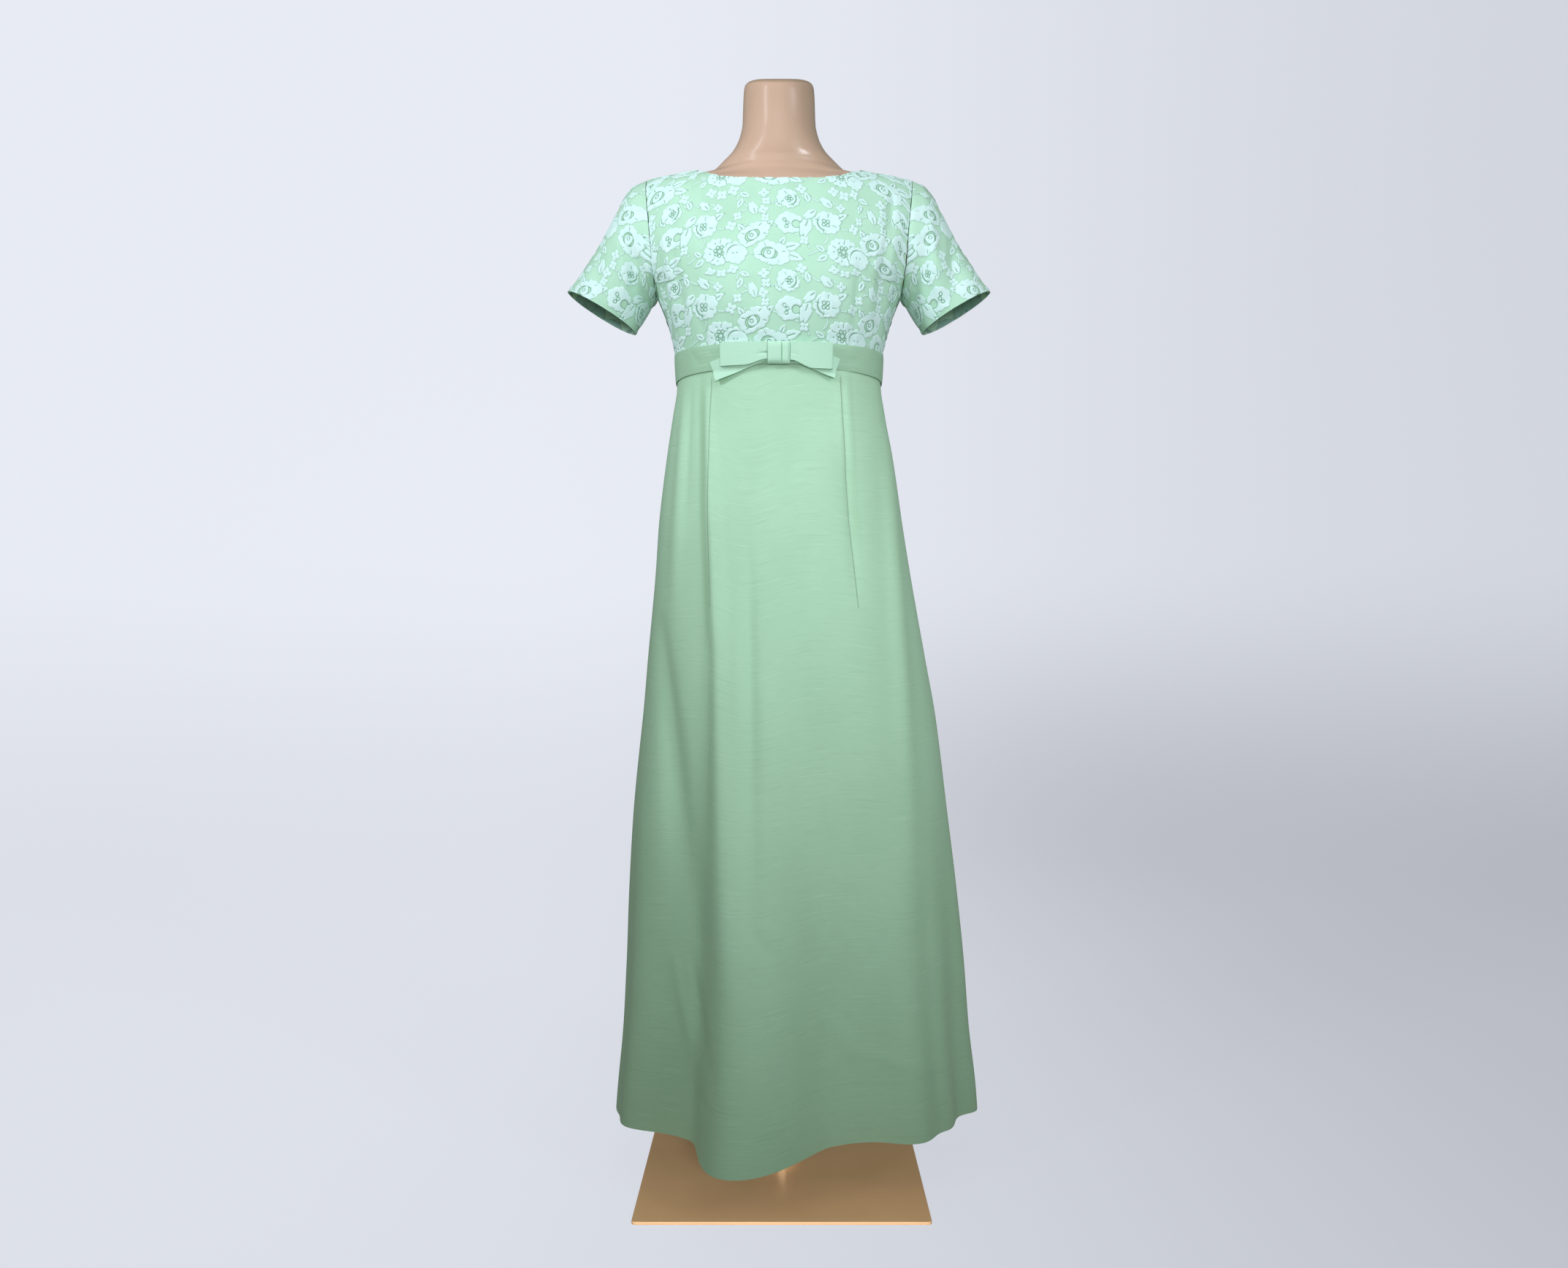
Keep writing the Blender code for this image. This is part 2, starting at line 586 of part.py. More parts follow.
def build_bow(collection):
    """Build the flat bow on the waistband: two tails, two loops and the knot."""
    for name, side in (("left", 1.0), ("right", -1.0)):
        root = KNOT_HALF_WIDTH + KNOT_SIDE_GAP

        def loop_grid(lift_in, side=side, root=root, reach=LOOP_REACH[name]):
            grid = []
            for share in spread(0.0, 1.0, 4):
                row = []
                for x, lift in loop_path(reach, lift_in):
                    pinch = LOOP_PINCH * max(1.0 - (x - root) / (reach / 2.0), 0.0)
                    low = LOOP_BOTTOM + pinch
                    high = LOOP_TOP - pinch
                    row.append(front_point(side * x, low + (high - low) * share, lift))
                grid.append(row)
            return grid

        cloth_wall(f"bow_loop_{name}", loop_grid(0.0), loop_grid(BOW_WALL), MINT_WEAVE, collection)

        def tail_grid(lift, side=side, root=root, reach=TAIL_REACH[name]):
            grid = []
            for share in spread(-0.5, 0.5, 4):
                row = []
                for along in spread(0.0, 1.0, 7):
                    middle_x = root + along * (reach - root)
                    slant = share * TAIL_WIDTH * math.sin(TAIL_ANGLE) * along
                    drop = (middle_x - root) * math.tan(TAIL_ANGLE)
                    rise = share * TAIL_WIDTH / (1.0 + (math.cos(TAIL_ANGLE) - 1.0) * along)
                    height = TAIL_ROOT_HEIGHT - drop + rise
                    row.append(front_point(side * (middle_x + slant), height, lift))
                grid.append(row)
            return grid

        top = tail_grid(TAIL_LIFT + BOW_WALL)
        cloth_wall(f"bow_tail_{name}", top, tail_grid(TAIL_LIFT), MINT_WEAVE, collection)

    outer = []
    inner = []
    for share in spread(0.0, 1.0, 8):
        height = KNOT_BOTTOM + (KNOT_TOP - KNOT_BOTTOM) * share
        row_out = []
        row_in = []
        for part in spread(-1.0, 1.0, 12):
            roll = (1.0 - abs(2.0 * share - 1.0) ** 4) * (1.0 - 0.6 * abs(part) ** 6)
            pleat = KNOT_PLEAT * math.cos(KNOT_PLEATS * math.pi * part)
            lift = KNOT_EDGE_LIFT + (KNOT_LIFT - KNOT_EDGE_LIFT + pleat) * roll
            row_out.append(front_point(part * KNOT_HALF_WIDTH, height, lift))
            row_in.append(front_point(part * KNOT_HALF_WIDTH, height, TAIL_LIFT))
        outer.append(row_out)
        inner.append(row_in)
    cloth_wall("bow_knot", outer, inner, MINT_WEAVE, collection)


def build_form(collection):
    """Build the limbless form: neck stump, shoulders cut flat at the arms, hips."""
    rings = []
    for row in reversed(FIGURE):
        ring = []
        for index in range(FORM_COLUMNS):
            bearing = 2.0 * math.pi * index / FORM_COLUMNS
            out = normal_of(figure_point, bearing, row.height)
            point = figure_point(bearing, row.height) - out * FORM_INSET
            across = point.x - FORM_AXIS_X
            point.x = FORM_AXIS_X + math.copysign(min(abs(across), ARM_PLATE_X), across)
            ring.append(point)
        rings.append(ring)
    points = [point for ring in rings for point in ring]
    faces = []
    for level in range(len(rings) - 1):
        for column in range(FORM_COLUMNS):
            across = (column + 1) % FORM_COLUMNS
            low = level * FORM_COLUMNS
            high = low + FORM_COLUMNS
            faces.append((low + column, low + across, high + across, high + column))
    faces.append(tuple(range(FORM_COLUMNS)))
    last = len(points) - FORM_COLUMNS
    faces.append(tuple(last + column for column in range(FORM_COLUMNS)))
    add_object("dress_form", mesh_of("dress_form", points, faces), TAN_PLASTIC, collection)
    return min(point.z for point in points)


def build_stand(collection, form_bottom):
    """Build the base plate, the ferrule on it and the pole up to the form."""
    work = bmesh.new()
    bmesh.ops.create_cube(work, size=1.0)
    bmesh.ops.scale(work, vec=(PLATE_SIDE, PLATE_SIDE, PLATE_THICKNESS), verts=work.verts)
    bmesh.ops.translate(work, vec=(0.0, 0.0, PLATE_THICKNESS / 2.0), verts=work.verts)
    uprights = [edge for edge in work.edges if abs(edge.verts[0].co.z - edge.verts[1].co.z) > 0.001]
    bmesh.ops.bevel(work, geom=uprights, offset=PLATE_CORNER, segments=4, profile=0.5, affect="EDGES")
    mesh = bpy.data.meshes.new("base_plate")
    work.to_mesh(mesh)
    work.free()
    plate = add_object("base_plate", mesh, BRONZE, collection)
    edge = plate.modifiers.new("soft_edge", "BEVEL")
    edge.width = PLATE_EDGE
    edge.segments = 1
    edge.limit_method = "ANGLE"
    edge.angle_limit = math.radians(60.0)

    bore = POLE_RADIUS + SEAT_GAP
    low = PLATE_THICKNESS + SEAT_GAP
    high = low + FERRULE_HEIGHT
    profile = (
        (bore, high),
        (FERRULE_RADIUS - FERRULE_CHAMFER, high),
        (FERRULE_RADIUS, high - FERRULE_CHAMFER),
        (FERRULE_RADIUS, low),
        (bore, low),
    )
    mesh = bpy.data.meshes.new("ferrule")
    count = len(profile)
    edges = [(index, (index + 1) % count) for index in range(count)]
    mesh.from_pydata([(radius, 0.0, height) for radius, height in profile], edges, [])
    ferrule = add_object("ferrule", mesh, GOLD, collection)
    turned = ferrule.modifiers.new("turned", "SCREW")
    turned.axis = "Z"
    turned.angle = 2.0 * math.pi
    turned.steps = FERRULE_STEPS
    turned.render_steps = FERRULE_STEPS
    turned.use_merge_vertices = True
    turned.merge_threshold = 0.00001

    pole_top = form_bottom - SEAT_GAP
    length = pole_top - low
    bpy.ops.mesh.primitive_cylinder_add(
        vertices=POLE_SIDES, radius=POLE_RADIUS, depth=length, location=(0.0, 0.0, low + length / 2.0)
    )
    pole = bpy.context.object
    pole.name = "pole"
    pole.data.name = "pole"
    pole.data.materials.append(material(GOLD))
    pole.data.shade_smooth()
    pole.data.set_sharp_from_angle(angle=math.radians(50.0))
    for holder in list(pole.users_collection):
        holder.objects.unlink(pole)
    collection.objects.link(pole)


def main():
    """Clear the scene and build the gown, the form and the stand."""
    for old in list(bpy.data.objects):
        bpy.data.objects.remove(old, do_unlink=True)
    collection = bpy.data.collections.new(COLLECTION_NAME)
    bpy.context.scene.collection.children.link(collection)
    build_bodice(collection)
    build_sleeves(collection)
    build_skirt(collection)
    build_waistband(collection)
    build_bow(collection)
    form_bottom = build_form(collection)
    build_stand(collection, form_bottom)


main()
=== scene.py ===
"""An empire-line evening gown on its dress form: the finish and fine shape of every piece.

Metres, +Z up. The gown's front faces -Y, so the wearer's left is +X. The sections, folds
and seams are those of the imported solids, worked out again on a finer grid, with darts,
creases, stitches and a raised floral lace added.
"""

import logging
import math
from dataclasses import dataclass, field
from enum import Enum
from typing import Callable, NamedTuple, Sequence

import bmesh
import bpy
import numpy as np
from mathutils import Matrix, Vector


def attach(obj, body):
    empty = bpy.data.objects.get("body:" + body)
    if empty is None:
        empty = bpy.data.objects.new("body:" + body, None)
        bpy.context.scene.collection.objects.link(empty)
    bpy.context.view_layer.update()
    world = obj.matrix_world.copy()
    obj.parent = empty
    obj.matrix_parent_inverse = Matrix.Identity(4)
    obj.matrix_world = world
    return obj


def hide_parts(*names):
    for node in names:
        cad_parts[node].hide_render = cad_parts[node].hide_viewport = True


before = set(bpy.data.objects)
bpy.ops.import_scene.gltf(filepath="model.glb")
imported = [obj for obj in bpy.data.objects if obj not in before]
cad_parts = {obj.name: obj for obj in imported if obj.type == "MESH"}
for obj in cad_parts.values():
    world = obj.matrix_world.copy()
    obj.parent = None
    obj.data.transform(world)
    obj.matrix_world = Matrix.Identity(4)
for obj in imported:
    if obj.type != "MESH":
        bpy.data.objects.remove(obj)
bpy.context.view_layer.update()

Array = np.ndarray
Material = bpy.types.Material
Piece = bpy.types.Object
Socket = bpy.types.NodeSocket
Triple = tuple[float, float, float]
Couple = tuple[float, float]

LOG = logging.getLogger("gown")
ROOT_BODY = "root"

HALF_TURN = math.pi
QUARTER_TURN = math.pi / 2.0
FRONTWARD = (0.0, -1.0, 0.0)
BACKWARD = (0.0, 1.0, 0.0)

# Cloth of the solids, and the thinner cloth that shows
SOLID_WALL = 0.0016
SEAM_GAP = 0.0003
SEAT_GAP = 0.0003
CLOTH = 0.0009
BOW_CLOTH = 0.001

# Heights of the gown's seams and edges
WAIST_SEAM = 1.116
UNDERARM = 1.222
ARMHOLE_TOP = 1.3815
NECK_POINT = 1.392
HEM = 0.078
HEM_DIP = 0.16

# The armhole seen from the front, and the sleeve set a step outside it
ARMHOLE_X_LOW = 0.1655
ARMHOLE_X_TOP = 0.185
SLEEVE_STEP = 0.001
SLEEVE_BLEND = 0.45

# The waistband and the flat bow on it
BAND_BOTTOM = 1.0955
BAND_FRONT_RISE = 0.007
BAND_TOP = 1.135
BAND_SEAT = 0.0006
KNOT_HALF_WIDTH = 0.0143
KNOT_SIDE_GAP = 0.0006
KNOT_BOTTOM = 1.103
KNOT_TOP = 1.1355
LOOP_BOTTOM = 1.1005
LOOP_TOP = 1.135
LOOP_BACK_LIFT = 0.0021
LOOP_FRONT_LIFT = 0.0069
TAIL_WIDTH = 0.028
TAIL_ANGLE = math.radians(20.0)
TAIL_ROOT_HEIGHT = 1.1225
TAIL_LIFT = 0.0005

# The dress form
FORM_AXIS_X = -0.004
FORM_INSET = 0.0013
ARM_PLATE_X = 0.178


class Side(Enum):
    """The wearer's side that a piece belongs to, with its sign along X."""

    LEFT = 1.0
    RIGHT = -1.0

    @property
    def word(self) -> str:
        """The side as it stands in the names of pieces."""
        return self.name.lower()


class Pair(NamedTuple):
    """A size on the wearer's left and the same one on the right."""

    left: float
    right: float

    def on(self, side: Side) -> float:
        """Return the size on one side."""
        return self.left if side is Side.LEFT else self.right


class Hold(Enum):
    """How a cut piece of cloth is held."""

    HUNG = "hung"
    STRETCHED = "stretched"
    FOLDED = "folded"


class FigureRow(NamedTuple):
    """One level section of the figure under the gown."""

    height: float
    half_width: float
    front: float
    back: float
    squareness: float


class NeckRow(NamedTuple):
    """The neckline's height at a share of the way from its middle to the shoulder seam."""

    share: float
    front: float
    back: float


class EaseRow(NamedTuple):
    """How far the bodice stands off the figure at one height."""

    height: float
    side: float
    front: float
    back: float


class SkirtRow(NamedTuple):
    """One level section of the skirt's outer side."""

    height: float
    half_width: float
    front: float
    back: float
    middle_x: float
    middle_y: float
    squareness: float


class FoldRow(NamedTuple):
    """A deep fold of the skirt: degrees from the front, spreads, depth at the hem, start."""

    bearing: float
    right_spread: float
    left_spread: float
    depth: float
    start: float


class SleeveRow(NamedTuple):
    """One section of a sleeve from its head at 0 to its hem at 1, seen from the front."""

    along: float
    top_x: float
    top_z: float
    under_x: float
    under_z: float
    half_depth: float


class Crease(NamedTuple):
    """A soft ridge or trough from one place to another, as seen from the front or the back."""

    from_x: float
    from_z: float
    to_x: float
    to_z: float
    width: float
    rise: float


def table(kind: type, *rows: tuple[float, ...]) -> tuple:
    """Return rows of numbers as named rows of a kind."""
    return tuple(kind(*row) for row in rows)


FIGURE = table(
    FigureRow,
    (1.517, 0.023, 0.023, 0.023, 2.0), (1.516, 0.035, 0.035, 0.035, 2.0), (1.513, 0.044, 0.0445, 0.044, 2.0),
    (1.508, 0.049, 0.05, 0.0495, 2.0), (1.5, 0.0512, 0.0525, 0.0515, 2.0), (1.485, 0.0518, 0.053, 0.052, 2.0),
    (1.462, 0.0526, 0.0545, 0.054, 2.0), (1.443, 0.0565, 0.0575, 0.058, 2.0),
    (1.431, 0.0613, 0.06, 0.0635, 2.0), (1.419, 0.069, 0.062, 0.07, 1.95),
    (1.408, 0.0805, 0.0625, 0.0755, 1.85), (1.3995, 0.09, 0.061, 0.0795, 1.75),
    (1.394, 0.0985, 0.06, 0.0825, 1.6), (1.3885, 0.128, 0.061, 0.0865, 1.48),
    (1.3815, 0.185, 0.065, 0.0905, 1.3), (1.37, 0.202, 0.0745, 0.0955, 1.55),
    (1.35, 0.211, 0.084, 0.1005, 1.85), (1.32, 0.212, 0.0925, 0.1035, 2.05),
    (1.285, 0.204, 0.1005, 0.1045, 2.2), (1.25, 0.186, 0.107, 0.102, 2.3), (1.22, 0.164, 0.11, 0.098, 2.35),
    (1.19, 0.153, 0.107, 0.0925, 2.35), (1.16, 0.145, 0.099, 0.086, 2.3), (1.13, 0.1385, 0.089, 0.08, 2.25),
    (1.1, 0.135, 0.082, 0.076, 2.2), (1.05, 0.125, 0.079, 0.07, 2.2), (1.0, 0.119, 0.082, 0.069, 2.2),
    (0.94, 0.132, 0.089, 0.083, 2.25), (0.87, 0.15, 0.094, 0.103, 2.3), (0.8, 0.159, 0.093, 0.11, 2.3),
    (0.76, 0.155, 0.089, 0.105, 2.3), (0.742, 0.143, 0.079, 0.094, 2.25), (0.736, 0.12, 0.064, 0.078, 2.2),
)

NECK = table(
    NeckRow,
    (0.0, 1.358, 1.372), (0.28, 1.3606, 1.374), (0.4, 1.3648, 1.3768), (0.47, 1.3695, 1.38),
    (0.5, 1.3735, 1.3825), (0.55, 1.3835, 1.3853), (0.62, 1.3863, 1.3876), (0.8, 1.3897, 1.3903),
    (1.0, NECK_POINT, NECK_POINT),
)

EASE = table(
    EaseRow,
    (1.4, 0.0, 0.0, 0.0), (1.34, 0.0, 0.0004, 0.0004), (1.28, 0.0025, 0.001, 0.001),
    (1.22, 0.006, 0.0015, 0.0015), (1.165, 0.003, 0.0045, 0.003), (1.12, 0.004, 0.003, 0.003),
    (1.09, 0.0055, 0.005, 0.005),
)

SKIRT = table(
    SkirtRow,
    (1.116, 0.1426, 0.0902, 0.0828, 0.0, 0.0, 2.22), (1.095, 0.1427, 0.0902, 0.0835, 0.0, 0.0, 2.22),
    (1.05, 0.149, 0.0935, 0.09, 0.0, 0.001, 2.2), (0.994, 0.1583, 0.103, 0.101, 0.001, 0.002, 2.2),
    (0.911, 0.1696, 0.115, 0.12, 0.002, 0.004, 2.2), (0.83, 0.179, 0.123, 0.131, 0.0055, 0.006, 2.2),
    (0.713, 0.195, 0.134, 0.14, 0.0105, 0.009, 2.15), (0.627, 0.2066, 0.14, 0.145, 0.0144, 0.011, 2.1),
    (0.519, 0.219, 0.146, 0.152, 0.0155, 0.013, 2.1), (0.388, 0.2313, 0.153, 0.159, 0.0195, 0.016, 2.05),
    (0.28, 0.239, 0.158, 0.164, 0.023, 0.018, 2.0), (0.194, 0.2445, 0.161, 0.168, 0.024, 0.019, 2.0),
    (0.108, 0.2535, 0.164, 0.171, 0.025, 0.02, 2.0), (0.06, 0.257, 0.165, 0.173, 0.025, 0.02, 2.0),
)

FOLDS = table(
    FoldRow,
    (-14.0, 21.0, 25.0, 0.076, 0.9), (-42.0, 12.0, 12.0, -0.005, 0.8), (-62.0, 14.0, 14.0, 0.01, 0.7),
    (19.0, 16.0, 16.0, -0.009, 0.8), (37.0, 13.0, 13.0, 0.013, 0.7), (68.0, 16.0, 14.0, -0.015, 0.6),
    (146.0, 20.0, 18.0, 0.042, 0.85), (170.0, 14.0, 14.0, -0.014, 0.7), (-160.0, 16.0, 20.0, 0.034, 0.78),
    (-125.0, 16.0, 16.0, -0.012, 0.65),
)

SLEEVE = table(
    SleeveRow,
    (0.0, 0.185, 1.3832, 0.1716, 1.2222, 0.05), (0.1, 0.201, 1.376, 0.1745, 1.2155, 0.052),
    (0.22, 0.214, 1.361, 0.178, 1.209, 0.054), (0.4, 0.2305, 1.329, 0.1835, 1.2, 0.055),
    (0.6, 0.2495, 1.2935, 0.1895, 1.19, 0.055), (0.8, 0.271, 1.259, 0.1955, 1.18, 0.054),
    (1.0, 0.296, 1.225, 0.202, 1.17, 0.053),
)

# Creases seen from the front: under the belt on the wearer's right, along the skirt, at the hem
SKIRT_FRONT_CREASES = table(
    Crease,
    (-0.133, 1.088, -0.148, 0.76, 0.009, 0.0036), (-0.123, 1.09, -0.129, 0.9, 0.004, -0.0008),
    (-0.101, 1.085, -0.086, 0.72, 0.0095, 0.007), (0.066, 1.09, 0.098, 0.8, 0.013, -0.0016),
    (0.08, 1.095, 0.101, 0.78, 0.006, -0.003), (0.083, 1.12, 0.09, 0.96, 0.022, 0.0036),
    (-0.088, 0.93, -0.075, 0.27, 0.013, 0.0075), (-0.168, 0.78, -0.115, 0.3, 0.018, -0.01),
    (-0.044, 0.88, -0.038, 0.28, 0.014, -0.0075), (0.042, 0.82, 0.056, 0.46, 0.026, 0.0022),
    (0.144, 1.03, 0.179, 0.34, 0.015, 0.006), (-0.148, 0.33, -0.105, 0.15, 0.01, 0.0026),
    (-0.123, 0.33, -0.093, 0.17, 0.008, -0.0024), (-0.04, 0.37, -0.01, 0.33, 0.006, -0.0016),
    (0.072, 0.41, 0.105, 0.395, 0.005, -0.0014), (0.05, 0.26, 0.13, 0.15, 0.016, 0.0018),
    (0.1, 0.2, 0.21, 0.162, 0.009, 0.0016),
)

SKIRT_BACK_CREASES = table(
    Crease,
    (-0.108, 1.09, -0.12, 0.87, 0.007, -0.0014), (-0.06, 1.09, -0.074, 0.82, 0.01, 0.0014),
    (-0.03, 1.09, -0.033, 0.94, 0.005, -0.0012), (0.042, 1.09, 0.054, 0.84, 0.008, -0.0014),
    (0.085, 1.09, 0.106, 0.89, 0.008, 0.0013), (-0.018, 0.86, -0.026, 0.32, 0.016, -0.0026),
    (0.07, 0.78, 0.082, 0.3, 0.017, -0.0026), (0.145, 0.79, 0.164, 0.35, 0.016, 0.0024),
    (-0.15, 0.76, -0.166, 0.32, 0.016, 0.0026), (0.03, 0.29, 0.09, 0.14, 0.011, 0.0016),
)

BODICE_FRONT_CREASES = table(
    Crease,
    (-0.1, 1.13, -0.112, 1.185, 0.005, -0.0022), (0.093, 1.13, 0.106, 1.245, 0.0056, -0.0022),
    (-0.172, 1.29, -0.15, 1.15, 0.0056, -0.0018), (-0.16, 1.28, -0.14, 1.145, 0.0056, 0.0016),
    (-0.148, 1.27, -0.13, 1.15, 0.0056, -0.0016), (-0.135, 1.255, -0.12, 1.155, 0.0056, 0.0012),
    (0.166, 1.295, 0.147, 1.15, 0.0056, -0.0018), (0.154, 1.29, 0.137, 1.145, 0.0056, 0.0016),
    (0.142, 1.295, 0.127, 1.15, 0.0062, -0.0022), (0.128, 1.27, 0.116, 1.15, 0.006, 0.0014),
    (0.152, 1.35, 0.145, 1.28, 0.007, -0.0022), (-0.03, 1.135, -0.02, 1.19, 0.012, 0.0012),
    (-0.156, 1.335, -0.142, 1.27, 0.008, -0.0014),
)

BODICE_BACK_CREASES = table(
    Crease,
    (-0.07, 1.13, -0.078, 1.23, 0.0056, -0.002), (0.07, 1.13, 0.078, 1.23, 0.0056, -0.002),
    (-0.162, 1.27, -0.142, 1.155, 0.0056, -0.0016), (-0.148, 1.26, -0.129, 1.15, 0.006, 0.0014),
    (0.16, 1.28, 0.14, 1.15, 0.0056, 0.0015), (0.145, 1.26, 0.128, 1.16, 0.006, -0.0016),
)

# Creases of the sleeves as seen from the front; the same ones, fainter, run behind
SLEEVE_CREASES = {
    Side.LEFT: table(
        Crease,
        (0.202, 1.315, 0.216, 1.2, 0.009, 0.005), (0.233, 1.3, 0.238, 1.195, 0.01, -0.005),
        (0.173, 1.285, 0.188, 1.195, 0.011, -0.0046), (0.183, 1.37, 0.177, 1.285, 0.006, 0.0018),
        (0.256, 1.29, 0.265, 1.21, 0.008, 0.0022),
    ),
    Side.RIGHT: table(
        Crease,
        (-0.208, 1.275, -0.182, 1.19, 0.012, -0.0052), (-0.226, 1.29, -0.21, 1.195, 0.009, 0.0036),
        (-0.19, 1.365, -0.185, 1.29, 0.007, 0.0016), (-0.248, 1.29, -0.256, 1.205, 0.008, -0.002),
    ),
}

BAND_CREASES = table(
    Crease,
    (-0.126, 1.133, -0.108, 1.106, 0.0035, -0.0008), (-0.108, 1.13, -0.093, 1.113, 0.003, 0.0006),
    (0.086, 1.11, 0.112, 1.124, 0.004, -0.0006),
)


class Curve:
    """A smooth curve through one column of a table that never overshoots its rows."""

    def __init__(self, rows: Sequence[NamedTuple], column: str, by: str = "height") -> None:
        """Work out the slope at each row.

        Args:
            rows: the table.
            column: the column that the curve returns.
            by: the column that it is read by.
        """
        pairs = sorted((getattr(row, by), getattr(row, column)) for row in rows)
        self.knots = np.array([pair[0] for pair in pairs])
        self.values = np.array([pair[1] for pair in pairs])
        steps = np.diff(self.knots)
        slopes = np.diff(self.values) / steps
        self.tangents = np.zeros(len(pairs))
        self.tangents[0] = slopes[0]
        self.tangents[-1] = slopes[-1]
        for index in range(1, len(pairs) - 1):
            before, after = slopes[index - 1], slopes[index]
            if before * after > 0.0:
                weight_a = 2.0 * steps[index] + steps[index - 1]
                weight_b = steps[index] + 2.0 * steps[index - 1]
                self.tangents[index] = (weight_a + weight_b) / (weight_a / before + weight_b / after)

    def __call__(self, at: Array) -> Array:
        """Return the values at an array of places, held level beyond the table's ends."""
        at = np.clip(at, self.knots[0], self.knots[-1])
        index = np.clip(np.searchsorted(self.knots, at, side="right") - 1, 0, len(self.knots) - 2)
        step = self.knots[index + 1] - self.knots[index]
        part = (at - self.knots[index]) / step
        rise = part * part * (3.0 - 2.0 * part)
        value = self.values[index] + (self.values[index + 1] - self.values[index]) * rise
        start = part * (1.0 - part) ** 2 * self.tangents[index]
        end = part * part * (part - 1.0) * self.tangents[index + 1]
        return value + step * (start + end)


def curves(rows: Sequence[NamedTuple], by: str = "height") -> dict[str, Curve]:
    """Return a Curve for each column of a table, by the column's name."""
    return {name: Curve(rows, name, by) for name in rows[0]._fields if name != by}


def bell(at: Array, middle: float, width: float) -> Array:
    """Return a soft bump that is 1 at its middle."""
    return np.exp(-(((at - middle) / width) ** 2))


def unit(vectors: Array) -> Array:
    """Return vectors scaled to length one along the last axis."""
    return vectors / np.maximum(np.linalg.norm(vectors, axis=-1, keepdims=True), 1e-12)


def stack(x: Array, y: Array, z: Array) -> Array:
    """Return points from arrays of their coordinates."""
    return np.stack(np.broadcast_arrays(x, y, z), axis=-1)


def section(bearing: Array, height: Array, at: dict[str, Curve]) -> tuple[Array, Array]:
    """Return x and y on rounded sections; bearing 0 is the front and a quarter turn is +X."""
    across, ahead = np.sin(bearing), np.cos(bearing)
    power = 2.0 / at["squareness"](height)
    depth = np.where(ahead > 0.0, at["front"](height), at["back"](height))
    x = at["half_width"](height) * np.sign(across) * np.abs(across) ** power
    return x, -depth * np.sign(ahead) * np.abs(ahead) ** power


def outward(surface: Callable, bearing: Array, height: Array) -> Array:
    """Return the outward unit directions of a surface of bearing and height."""
    turn = math.radians(0.5)
    lift = 0.0004
    along = surface(bearing + turn, height) - surface(bearing - turn, height)
    up = surface(bearing, height + lift) - surface(bearing, height - lift)
    return unit(np.cross(along, up))


def crease_push(points: Array, creases: Sequence[Crease]) -> Array:
    """Return how far the creases push each point outwards.

    Args:
        points: the cloth's points, rows by columns.
        creases: soft ridges and troughs as seen along Y.

    Returns:
        One push for each point.
    """
    fade_power, start_width, widening = 0.7, 0.55, 0.75
    push = np.zeros(points.shape[:-1])
    for crease in creases:
        way = np.array([crease.to_x - crease.from_x, crease.to_z - crease.from_z])
        length = np.linalg.norm(way)
        way = way / length
        across_x = points[..., 0] - crease.from_x
        across_z = points[..., 2] - crease.from_z
        along = (across_x * way[0] + across_z * way[1]) / length
        away = across_x * way[1] - across_z * way[0]
        inside = np.clip(along, 0.0, 1.0)
        fade = np.sin(HALF_TURN * inside) ** fade_power
        width = crease.width * (start_width + widening * inside)
        push += crease.rise * fade * bell(away, 0.0, width)
    return push


